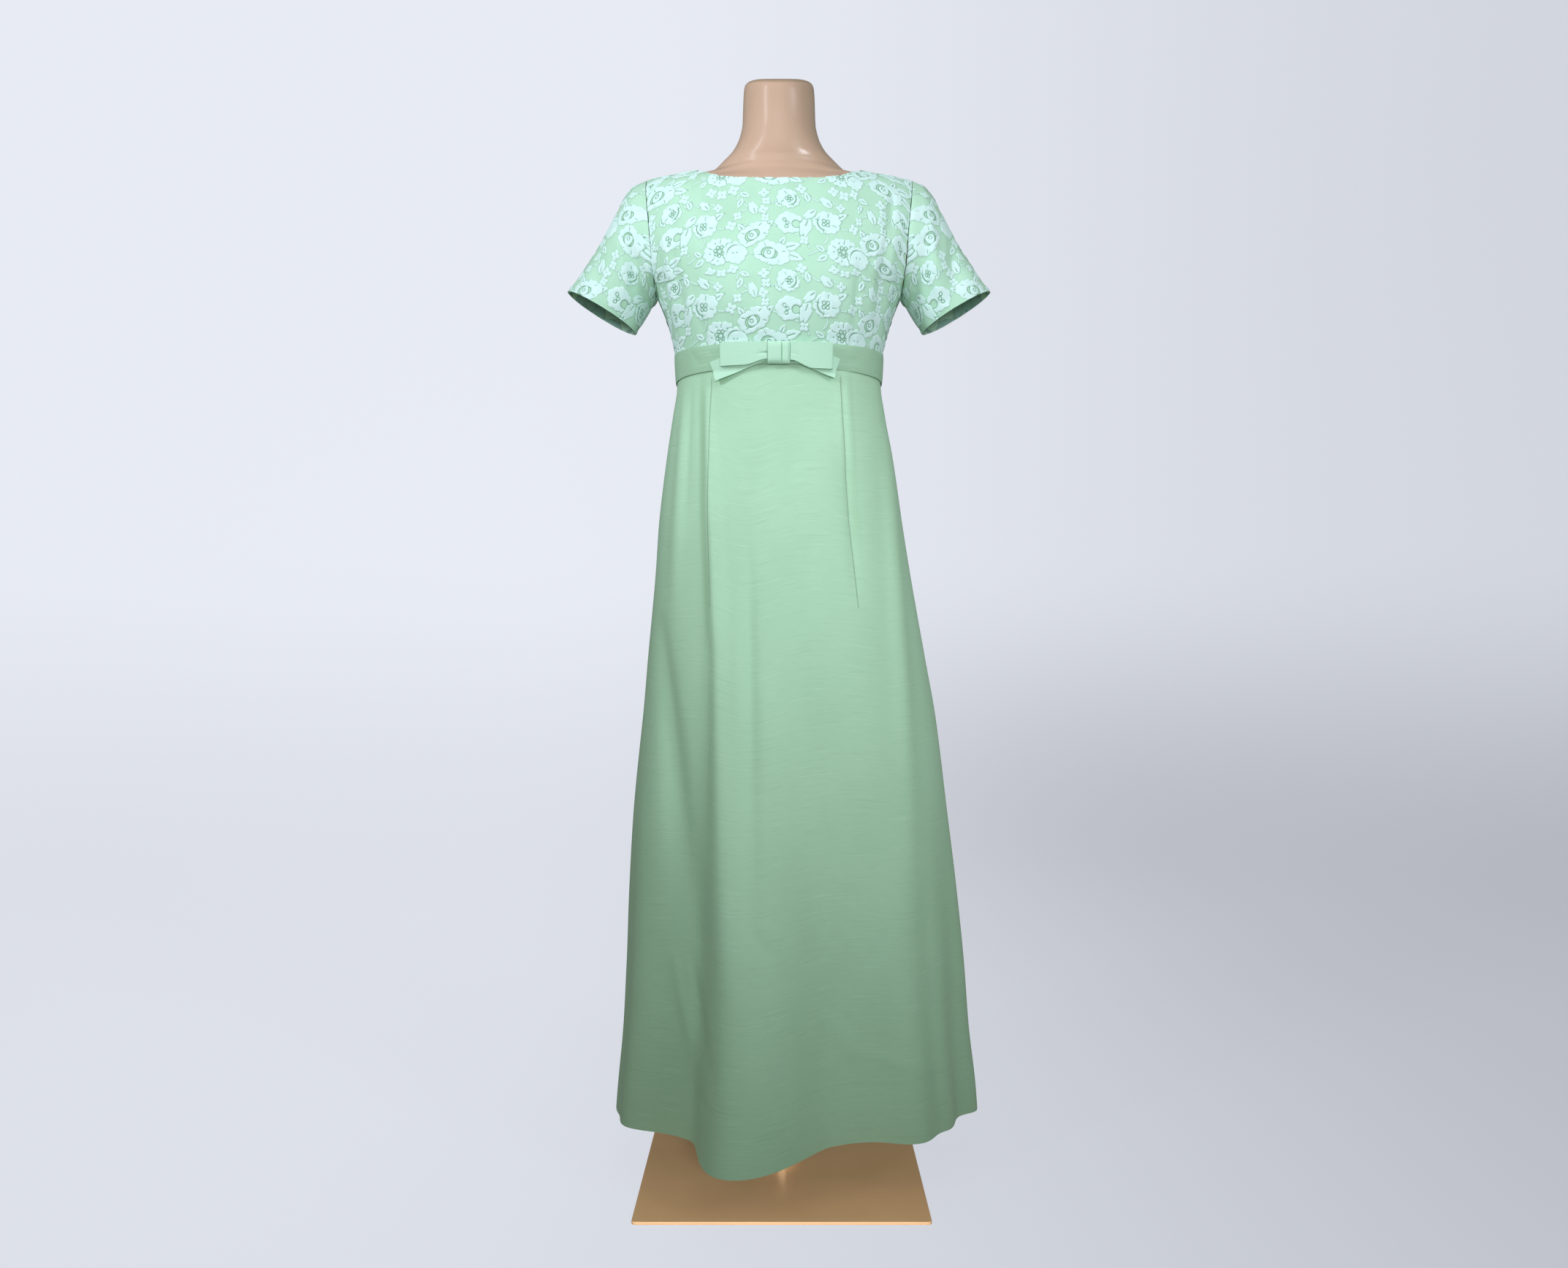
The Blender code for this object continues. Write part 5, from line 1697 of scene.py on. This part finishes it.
@dataclass
class Sleeves:
    """The two short flared sleeves, laced outside, with the lace showing through inside in painted shade."""

    shape: GownShape
    finishes: Finishes
    cutter: LaceCutter
    columns: int = 88
    rows: int = 38
    lace_columns: int = 380
    lace_rows: int = 148
    inside_columns: int = 220
    inside_rows: int = 66
    inside_from: float = 0.35
    behind: float = 0.6
    lace_offset: Couple = (0.02, 0.07)
    inside_offset: Couple = (0.055, 0.1)

    def build(self) -> None:
        """Build both sleeves."""
        for side in Side:
            self.sleeve(side)

    def grid(self, side: Side, columns: int, alongs: Array) -> ClothGrid:
        """Return a sleeve's cloth, its first column under the arm."""
        turns = np.linspace(HALF_TURN, 3.0 * HALF_TURN, columns + 1)[:-1]
        points, axis = self.shape.sleeve_grid(turns, alongs), self.axis()
        if side is Side.RIGHT:
            mirror = np.array([-1.0, 1.0, 1.0])
            points = points * mirror + np.array([2.0 * FORM_AXIS_X, 0.0, 0.0])
            axis = axis * mirror
        facing = (side.value, 0.0, 1.0)
        made = ClothGrid(points, facing, closed=True, zero_column=columns // 2, axis=tuple(axis))
        share = np.abs(np.sin(turns)) * np.where(np.sin(turns) > 0.0, 1.0, self.behind)
        made.crease(SLEEVE_CREASES[side], share[None, :])
        return made

    def axis(self) -> Array:
        """Return the direction from the middle of the wearer's left sleeve's hem to its head."""
        head, hem = SLEEVE[0], SLEEVE[-1]
        across = head.top_x + head.under_x - hem.top_x - hem.under_x
        return unit(np.array([across, 0.0, head.top_z + head.under_z - hem.top_z - hem.under_z]))

    def sleeve(self, side: Side) -> None:
        """Build one sleeve and its lace."""
        name = f"sleeve_{side.word}"
        cloth = self.grid(side, self.columns, np.linspace(0.0, 1.0, self.rows + 1))
        satin = cloth.wall(name + "_satin", CLOTH)
        dress(satin, self.finishes.netted, [name])
        fine = self.grid(side, self.lace_columns, np.linspace(0.0, 1.0, self.lace_rows + 1))
        lace, = self.cutter.cut([name + "_lace"], fine, self.lace_offset)
        dress(lace, self.finishes.lace)
        # A darker copy of the lace inside the sleeve's lower part, coloured as painted shade
        low = self.grid(side, self.inside_columns, np.linspace(self.inside_from, 1.0, self.inside_rows))
        shown, = self.cutter.cut([name + "_lace_inside"], low, self.inside_offset, inside=True)
        dress(shown, self.finishes.lace_inside)
        declare(satin, cloth, Hold.HUNG)


@dataclass
class Skirt:
    """The A-line skirt: one front with two long darts, two backs."""

    shape: GownShape
    front_columns: int = 180
    back_columns: int = 72
    rows: int = 130
    seam_calm: float = 0.02
    side_gap: float = 0.00004

    def grid(self, bearings: Array, facing: Triple, creases: Sequence[Crease], middle: int) -> ClothGrid:
        """Return a panel's creased cloth, counted from the hem up."""
        levels = np.linspace(0.0, 1.0, self.rows + 1)
        made = ClothGrid(self.shape.skirt_grid(bearings, levels), facing, zero_row=-1, zero_column=middle)
        made.draw_in(self.side_gap / 2.0)
        made.refresh()
        turned = np.abs(np.sin(bearings))
        made.crease(creases, np.clip((1.0 - turned) / self.seam_calm, 0.0, 1.0)[None, :])
        return made

    def front(self) -> ClothGrid:
        """Return the front's cloth."""
        bearings = np.linspace(-QUARTER_TURN, QUARTER_TURN, self.front_columns + 1)
        return self.grid(bearings, FRONTWARD, SKIRT_FRONT_CREASES, self.front_columns // 2)

    def back(self, side: Side) -> ClothGrid:
        """Return one back's cloth, its first column at the centre back."""
        bearings = np.linspace(HALF_TURN, HALF_TURN - side.value * QUARTER_TURN, self.back_columns + 1)
        return self.grid(bearings, BACKWARD, SKIRT_BACK_CREASES, 0)

    def build(self, finishes: Finishes) -> list[ClothGrid]:
        """Build the panels and return their cloth, front first."""
        grids = [self.front(), *(self.back(side) for side in Side)]
        names = ["skirt_front", *(f"skirt_back_{side.word}" for side in Side)]
        for name, grid, material in zip(names, grids, (finishes.skirt, finishes.plain, finishes.plain)):
            make_up(name, grid, CLOTH, material, Hold.HUNG)
        return grids


def nearest_place(grid: ClothGrid, x: float, z: float) -> Couple:
    """Return the place on the flat cloth of the point nearest to x and z, seen along Y."""
    away = np.hypot(grid.points[..., 0] - x, grid.points[..., 2] - z)
    row, column = np.unravel_index(int(away.argmin()), away.shape)
    across, along = grid.cloth_places()[row, column]
    return float(across), float(along)


@dataclass
class Waistband:
    """The folded self-fabric band over the waist seam."""

    shape: GownShape
    finishes: Finishes
    columns: int = 240
    rows: int = 12
    knot_rise: float = 0.0055
    knot_spread: float = 0.26
    edge_wall: float = 0.7
    puffed_wall: float = 0.35

    def build(self) -> None:
        """Build the band."""
        shares = np.linspace(-1.0, 1.0, self.columns + 1)
        share, level = np.meshgrid(shares, np.linspace(0.0, 1.0, self.rows + 1))
        bearing = share * HALF_TURN
        low = BAND_BOTTOM + BAND_FRONT_RISE * np.clip(np.cos(bearing), 0.0, None)
        behind_knot = bell(np.sin(bearing), 0.0, self.knot_spread) * (np.cos(bearing) > 0.0)
        low = low + self.knot_rise * behind_knot
        height = low + (BAND_TOP - low) * level
        puff = 1.0 - np.abs(2.0 * level - 1.0) ** 5
        lift = BAND_SEAT + SOLID_WALL * (self.edge_wall + self.puffed_wall * puff)
        points = self.shape.band_point(bearing, height, lift)
        grid = ClothGrid(points, FRONTWARD, zero_column=self.columns // 2)
        grid.draw_in(SEAM_GAP / 2.0)
        grid.refresh()
        push = crease_push(grid.points, BAND_CREASES) * (grid.points[..., 1] < 0.0)
        grid.points = grid.points + grid.out * push[..., None]
        make_up("waistband", grid, CLOTH, self.finishes.band, Hold.STRETCHED)


@dataclass
class Bow:
    """The flat bow: two loops, two slanted ends and a pleated knot."""

    shape: GownShape
    finishes: Finishes
    reach: Pair = Pair(0.0705, 0.0765)
    tail_reach: Pair = Pair(0.0765, 0.0865)
    pinch_length: float = 0.03
    bottom_pinch: Pair = Pair(0.0105, 0.0075)
    bottom_rise: Pair = Pair(0.0, 0.0042)
    top_pinch: float = 0.0006
    root_sink: float = 0.0004
    crease_at: float = 0.36
    crease_width: float = 0.06
    crease_depth: Pair = Pair(0.0006, 0.0026)
    tail_narrowed: float = 0.003
    tail_raised: float = 0.0022
    tail_free: float = 0.013
    tail_stand: float = 0.005
    knot_raised: float = 0.003
    knot_edge_lift: float = 0.0035
    knot_lift: float = 0.008
    pleat_step: float = 0.0006
    step_at: float = 0.24
    step_slope: float = 40.0
    groove_depth: float = 0.0016
    groove_width: float = 0.03
    grooves: tuple[Couple, ...] = ((0.27, 1.0), (0.9, 0.8))
    rows: int = 24
    straight_points: int = 30
    bend_points: int = 12
    tail_points: int = 40
    knot_rows: int = 31
    knot_columns: int = 141

    def build(self) -> None:
        """Build the five pieces."""
        for side in Side:
            self.tail(side)
            self.loop(side)
        self.knot()

    def make_up(self, name: str, grid: ClothGrid) -> None:
        """Make one piece of the bow from its cloth."""
        make_up(name, grid, BOW_CLOTH, self.finishes.bow, Hold.FOLDED)

    def loop(self, side: Side) -> None:
        """Build one loop: out in front, round its folded end and back behind."""
        root = KNOT_HALF_WIDTH + KNOT_SIDE_GAP
        half = (LOOP_FRONT_LIFT - LOOP_BACK_LIFT) / 2.0
        centre = self.reach.on(side) - half
        turn = np.linspace(0.0, HALF_TURN, self.bend_points)[1:-1]
        straight = np.linspace(root, centre, self.straight_points)
        x = np.concatenate([straight, centre + half * np.sin(turn), straight[::-1]])[None, :]
        lift = np.concatenate([
            np.full(len(straight), LOOP_FRONT_LIFT),
            LOOP_BACK_LIFT + half + half * np.cos(turn),
            np.full(len(straight), LOOP_BACK_LIFT),
        ])
        is_front = np.arange(len(lift)) < len(straight)
        share = np.linspace(0.0, 1.0, self.rows + 1)[:, None]
        near = np.clip(1.0 - (x - root) / self.pinch_length, 0.0, 1.0)
        soft = near * near * (3.0 - 2.0 * near)
        low = LOOP_BOTTOM + self.bottom_rise.on(side) + self.bottom_pinch.on(side) * soft
        high = LOOP_TOP - self.top_pinch * soft
        height = low + (high - low) * share
        crease = bell(share, self.crease_at, self.crease_width) * np.clip(near * 2.0 - 1.0, 0.0, 1.0)
        sink = (self.root_sink * soft + self.crease_depth.on(side) * crease) * is_front
        x = np.broadcast_to(side.value * x, height.shape)
        grid = ClothGrid(self.shape.front_point(x, height, lift - sink), FRONTWARD)
        grid.out = grid.out * self.side_of_sheet(grid)
        self.make_up(f"bow_loop_{side.word}", grid)

    @staticmethod
    def side_of_sheet(grid: ClothGrid) -> float:
        """Return the sign that turns a folded strip's directions out of its loop."""
        first = grid.out[grid.out.shape[0] // 2, 2]
        return 1.0 if first[1] < 0.0 else -1.0

    def tail(self, side: Side) -> None:
        """Build one slanted end behind a loop."""
        root = KNOT_HALF_WIDTH + KNOT_SIDE_GAP
        shares = np.linspace(-0.5, 0.5, self.rows + 1)
        share, along = np.meshgrid(shares, np.linspace(0.0, 1.0, self.tail_points), indexing="ij")
        middle = root + along * (self.tail_reach.on(side) - root)
        width = TAIL_WIDTH - self.tail_narrowed
        x = middle + share * width * math.sin(TAIL_ANGLE) * along
        drop = (middle - root) * math.tan(TAIL_ANGLE)
        rise = share * width / (1.0 + (math.cos(TAIL_ANGLE) - 1.0) * along)
        height = TAIL_ROOT_HEIGHT + self.tail_raised - drop + rise
        free = np.clip((LOOP_BOTTOM - height) / self.tail_free, 0.0, 1.0)
        lift = TAIL_LIFT + BOW_CLOTH + SEAT_GAP + self.tail_stand * along * free * free * (3.0 - 2.0 * free)
        points = self.shape.front_point(side.value * x, height, lift)
        self.make_up(f"bow_tail_{side.word}", ClothGrid(points, FRONTWARD))

    def knot(self) -> None:
        """Build the knot: a broad flat pleat and a narrow one on the wearer's left."""
        shares = np.linspace(0.0, 1.0, self.knot_rows)
        share, part = np.meshgrid(shares, np.linspace(-1.0, 1.0, self.knot_columns), indexing="ij")
        low = KNOT_BOTTOM + self.knot_raised
        height = low + (KNOT_TOP - low) * share
        roll = (1.0 - np.abs(2.0 * share - 1.0) ** 6) * (1.0 - 0.25 * np.abs(part) ** 10)
        groove = sum(depth * bell(part, place, self.groove_width) for place, depth in self.grooves)
        step = self.pleat_step * np.tanh((self.step_at - part) * self.step_slope)
        pleat = step - self.groove_depth * groove
        lift = self.knot_edge_lift + (self.knot_lift - self.knot_edge_lift + pleat) * roll
        points = self.shape.front_point(part * KNOT_HALF_WIDTH, height, lift)
        self.make_up("bow_knot", ClothGrid(points, FRONTWARD))


# Half widths of the neck stump's rim, by height: its cap is flatter than the solid's
RIM = {1.517: 0.044, 1.516: 0.0465, 1.513: 0.0495, 1.508: 0.0506}


@dataclass
class DressForm:
    """The limbless moulded form: neck stump, shoulders cut flat at the arms, hips."""

    finishes: Finishes
    columns: int = 128
    steps_between_rows: int = 4
    hollow_height: float = 1.392
    hollow_spread: float = 0.007
    hollow_fill: float = 0.0034
    hollow_half_width: float = 0.09
    hollow_fade: float = 0.04
    rim_deeper: Couple = (0.0006, 0.0004)
    cut_from: float = 1.47
    cut_rise: float = 0.002
    cut_drop: float = 0.012
    neck_depth: float = 0.05

    def heights(self) -> Array:
        """Return section heights from the bottom up, close together where the form turns fast."""
        rows = sorted(row.height for row in FIGURE)
        found = [rows[0]]
        for low, high in zip(rows, rows[1:]):
            for step in range(1, self.steps_between_rows + 1):
                found.append(low + (high - low) * step / self.steps_between_rows)
        return np.array(found)

    def build(self) -> None:
        """Build the form with closed ends."""
        bearings = np.linspace(-HALF_TURN, HALF_TURN, self.columns + 1)[:-1]
        bearing, height = np.meshgrid(bearings, self.heights())
        shape, (front, back) = GownShape(), self.rim_deeper
        shape.figure = curves([
            row._replace(half_width=size, front=size + front, back=size + back)
            if (size := RIM.get(row.height)) else row
            for row in FIGURE
        ])
        out = outward(shape.figure_point, bearing, height)
        x, y, z = np.moveaxis(shape.figure_point(bearing, height) - out * FORM_INSET, -1, 0)
        across = np.clip(x - FORM_AXIS_X, -ARM_PLATE_X, ARM_PLATE_X)
        near_middle = np.clip((self.hollow_half_width - np.abs(across)) / self.hollow_fade, 0.0, 1.0)
        fill = self.hollow_fill * bell(height, self.hollow_height, self.hollow_spread) * near_middle
        ahead = np.clip(-y / self.neck_depth, 0.0, 1.0)
        reach = np.clip((height - self.cut_from) / (FIGURE[0].height - self.cut_from), 0.0, 1.0) ** 2
        slant = (self.cut_rise - self.cut_drop * ahead * ahead) * reach
        points = stack(FORM_AXIS_X + across, y - fill * (y < 0.0), z + slant)
        rows, columns = points.shape[:2]
        faces = grid_faces(rows, columns, True).tolist()
        last = (rows - 1) * columns
        for column in range(columns):
            after = (column + 1) % columns
            faces.append([after, column, rows * columns])
            faces.append([last + column, last + after, rows * columns + 1])
        ends = [points[0].mean(axis=0), points[-1].mean(axis=0)]
        made = make_object("dress_form_shell", np.concatenate([points.reshape(-1, 3), ends]), faces)
        turn_outwards(made)
        dress(made, self.finishes.plastic, ["dress_form"])


STAND_NODES = ("base_plate", "ferrule", "pole")


@dataclass
class Stand:
    """The base plate, ferrule and pole: the solids' own shapes with their metal finishes."""

    finishes: Finishes

    def build(self) -> None:
        """Give each solid its finish."""
        bronze, gold = self.finishes.bronze, self.finishes.gold
        for name, material in zip(STAND_NODES, (bronze, gold, gold)):
            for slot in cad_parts[name].material_slots:
                slot.material = material
            LOG.info("%s: finish %s", name, material.name)


class Lamp(NamedTuple):
    """A soft area lamp: its place and aim, its width and height, spread in degrees, power."""

    place: Triple
    aim: Triple
    size: Couple
    spread: float
    watts: float


LAMPS = {
    "left_strip": Lamp((-1.75, -1.75, 2.6), (0.0, 0.0, 1.2), (0.06, 1.7), 100.0, 2.2),
    "left_box": Lamp((-1.8, -1.5, 2.1), (0.0, 0.0, 1.42), (0.4, 0.4), 40.0, 1.55),
    "right_box": Lamp((1.6, -1.6, 2.0), (0.0, 0.0, 1.0), (0.5, 0.8), 60.0, 1.9),
    "overhead_box": Lamp((0.0, -1.9, 3.0), (0.0, 0.0, 1.2), (1.0, 0.6), 90.0, 2.1),
    "level_box": Lamp((0.1, -2.3, 1.0), (0.0, 0.0, 0.9), (0.8, 0.5), 50.0, 1.8),
}
MIRRORED_LAMPS = ("left_strip", "right_box")
STAND_LAMP = Lamp((0.0, -1.95, 0.6), (0.0, -0.1, 0.02), (0.5, 0.3), 180.0, 64.0)
LAMP_COLOUR = (0.95, 1.0, 1.1)
SKY_COLOUR = (0.95, 1.0, 0.87)
SKY_STRENGTH = 0.185


@dataclass
class Studio:
    """A pale cove all round, soft lights and the camera."""

    floor_radius: float = 2.6
    wall_radius: float = 3.6
    wall_height: float = 4.2
    camera_place: Triple = (0.003, -1.83, 0.742)
    focal_pixels: float = 1780.0
    image_width: float = 2146.0
    horizon_drop: float = 4.0
    sensor: float = 36.0

    def build(self) -> None:
        """Build the cove, the lights and the camera."""
        self.cove()
        for name, lamp in LAMPS.items():
            self.softbox(name, lamp).visible_glossy = name in MIRRORED_LAMPS
        stand = bpy.data.collections.new("lit_by_the_stand_lamp")
        for name in STAND_NODES:
            stand.objects.link(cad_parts[name])
        self.softbox("stand_lamp", STAND_LAMP).light_linking.receiver_collection = stand
        self.world()
        self.camera()

    def cove(self) -> None:
        """Build the floor, its sweep and the wall as one turned surface."""
        bend = self.wall_radius - self.floor_radius
        profile = [(radius, 0.0) for radius in np.linspace(0.0, self.floor_radius, 8)[1:]]
        profile += [
            (self.floor_radius + bend * math.sin(turn), bend - bend * math.cos(turn))
            for turn in np.linspace(0.0, QUARTER_TURN, 14)[1:]
        ]
        profile.append((self.wall_radius, self.wall_height))
        turns = np.linspace(0.0, 2.0 * HALF_TURN, 97)[:-1]
        rings = np.array([
            [(radius * math.cos(turn), radius * math.sin(turn), height) for turn in turns]
            for radius, height in profile
        ])
        rows, columns = rings.shape[:2]
        faces = grid_faces(rows, columns, True).tolist()
        faces += [[rows * columns, (column + 1) % columns, column] for column in range(columns)]
        made = make_object("pale_cove", np.append(rings.reshape(-1, 3), [[0.0, 0.0, 0.0]], axis=0), faces)
        made.data.materials.append(CovePaper().material())
        made.visible_diffuse = False
        made.visible_glossy = False

    @staticmethod
    def softbox(name: str, lamp: Lamp) -> Piece:
        """Add a soft area light aimed at a point."""
        light = bpy.data.lights.new(name, "AREA")
        light.shape = "RECTANGLE"
        light.size, light.size_y = lamp.size
        light.spread = math.radians(lamp.spread)
        light.energy = lamp.watts
        light.color = LAMP_COLOUR
        made = link_object(name, light)
        made.location = lamp.place
        made.rotation_euler = (Vector(lamp.aim) - Vector(lamp.place)).to_track_quat("-Z", "Y").to_euler()
        made.visible_camera = False
        return made

    @staticmethod
    def world() -> None:
        """Set a dim even sky behind the cove."""
        world = bpy.data.worlds.new("studio_air")
        world.use_nodes = True
        sky = world.node_tree.nodes["Background"]
        sky.inputs["Color"].default_value = (*SKY_COLOUR, 1.0)
        sky.inputs["Strength"].default_value = SKY_STRENGTH
        bpy.context.scene.world = world
        bpy.context.scene.view_settings.view_transform = "Standard"

    def camera(self) -> None:
        """Set the camera level in front of the gown."""
        lens = bpy.data.cameras.new("photo_camera")
        lens.sensor_width = self.sensor
        lens.sensor_fit = "HORIZONTAL"
        lens.lens = self.focal_pixels / self.image_width * self.sensor
        lens.shift_y = self.horizon_drop / self.image_width
        lens.clip_start = 0.05
        made = link_object("photo_camera", lens)
        made.location = self.camera_place
        made.rotation_euler = (QUARTER_TURN, 0.0, 0.0)
        bpy.context.scene.camera = made


@dataclass
class Sewing:
    """The stitches that show: the neck's edge, the sleeves' hems and the zip's lap."""

    above: float = 0.00012
    thread: float = 0.00016
    lap_thread: float = 0.0002
    neck_levels: tuple[float, ...] = (0.97, 0.98, 0.99)
    cuff_alongs: tuple[float, ...] = (0.955, 0.965, 0.975)
    lap_share: float = 0.16
    lap_column: int = 3

    def build(self, lap: ClothGrid, bodice: Bodice, sleeves: Sleeves) -> None:
        """Sew each row.

        Args:
            lap: the skirt's back with the zip's lap.
            bodice: for the neck's edge.
            sleeves: for the sleeves' hems.
        """
        needle = StitchRow(SewingThread("mint_sewing_thread").material())
        neck = []
        for is_front in (True, False):
            grid = bodice.grid(np.linspace(-1.0, 1.0, 161), np.array(self.neck_levels), is_front, ())
            neck.append((grid.points + grid.out * self.above)[1])
        dress(needle.sew("neck_edge_stitches", neck, 0.0042, 0.0016, self.thread), None)
        cuffs = []
        for side in Side:
            grid = sleeves.grid(side, 200, np.array(self.cuff_alongs))
            ring = (grid.points + grid.out * self.above)[1]
            cuffs.append(np.concatenate([ring, ring[:1]]))
        dress(needle.sew("sleeve_hem_stitches", cuffs, 0.005, 0.0014, self.thread), None)
        sewn = slice(int(lap.points.shape[0] * self.lap_share))
        column = (lap.points + lap.out * self.above)[sewn, self.lap_column]
        dress(needle.sew("zip_lap_stitches", [column], 0.006, 0.0022, self.lap_thread), None)


def line_between(grid: ClothGrid, start: Couple, end: Couple) -> Line:
    """Return the line on the flat cloth between two places seen along Y."""
    return Line(nearest_place(grid, *start), nearest_place(grid, *end))


def make_finishes(front: ClothGrid) -> Finishes:
    """Make every material; the skirt's darts are found on its front's own cloth."""
    darts = (
        line_between(front, (-0.094, 1.09), (-0.096, 0.782)),
        line_between(front, (0.08, 1.09), (0.101, 0.782)),
    )
    # The first stripe of painted shade lies over the cloth twice, which makes it the deeper
    shade_beside_dart = line_between(front, (-0.107, 1.09), (-0.099, 0.76))
    pressed = (shade_beside_dart, shade_beside_dart, line_between(front, (0.09, 1.1), (0.104, 0.86)))
    # A darker copy of the lace for the sleeves' insides: painted shade
    shade = LaceThread(
        "aqua_lace_seen_inside", (0.3, 0.52, 0.44), (0.35, 0.58, 0.49), (0.24, 0.44, 0.31),
        (0.19, 0.37, 0.26), (0.13, 0.27, 0.19),
    )
    return Finishes(
        skirt=SlubSatin("mint_slub_satin_darted", darts=darts, pressed=pressed, hem_depth=0.078).material(),
        plain=SlubSatin("mint_slub_satin_plain").material(),
        # The bow's copy of the satin is lighter than the skirt's: painted light
        bow=SlubSatin(
            "mint_slub_satin_bow", (0.52, 0.8, 0.6), (0.45, 0.71, 0.5), (0.59, 0.85, 0.67),
            patchiness=0.1,
        ).material(),
        # The band's copy of the satin is darker than the skirt's: painted shade
        band=SlubSatin("mint_slub_satin_band", (0.385, 0.61, 0.42), (0.315, 0.515, 0.335)).material(),
        netted=NettedSatin().material(),
        lace=LaceThread().material(),
        lace_inside=shade.material(),
        plastic=GlossPlastic().material(),
        bronze=BrushedBronze().material(),
        gold=PolishedGold().material(),
    )


def main() -> None:
    """Build every piece in order and report it."""
    logging.basicConfig(level=logging.INFO, format="%(name)s: %(message)s")
    shape = GownShape()
    skirt = Skirt(shape)
    finishes = make_finishes(skirt.front())
    cutter = LaceCutter(LaceRepeat())
    bodice = Bodice(shape, finishes, cutter)
    sleeves = Sleeves(shape, finishes, cutter)
    bodice.build()
    Waistband(shape, finishes).build()
    _, lap, _ = skirt.build(finishes)
    sleeves.build()
    Bow(shape, finishes).build()
    DressForm(finishes).build()
    Stand(finishes).build()
    Sewing().build(lap, bodice, sleeves)
    Studio().build()


if __name__ == "__main__":
    main()
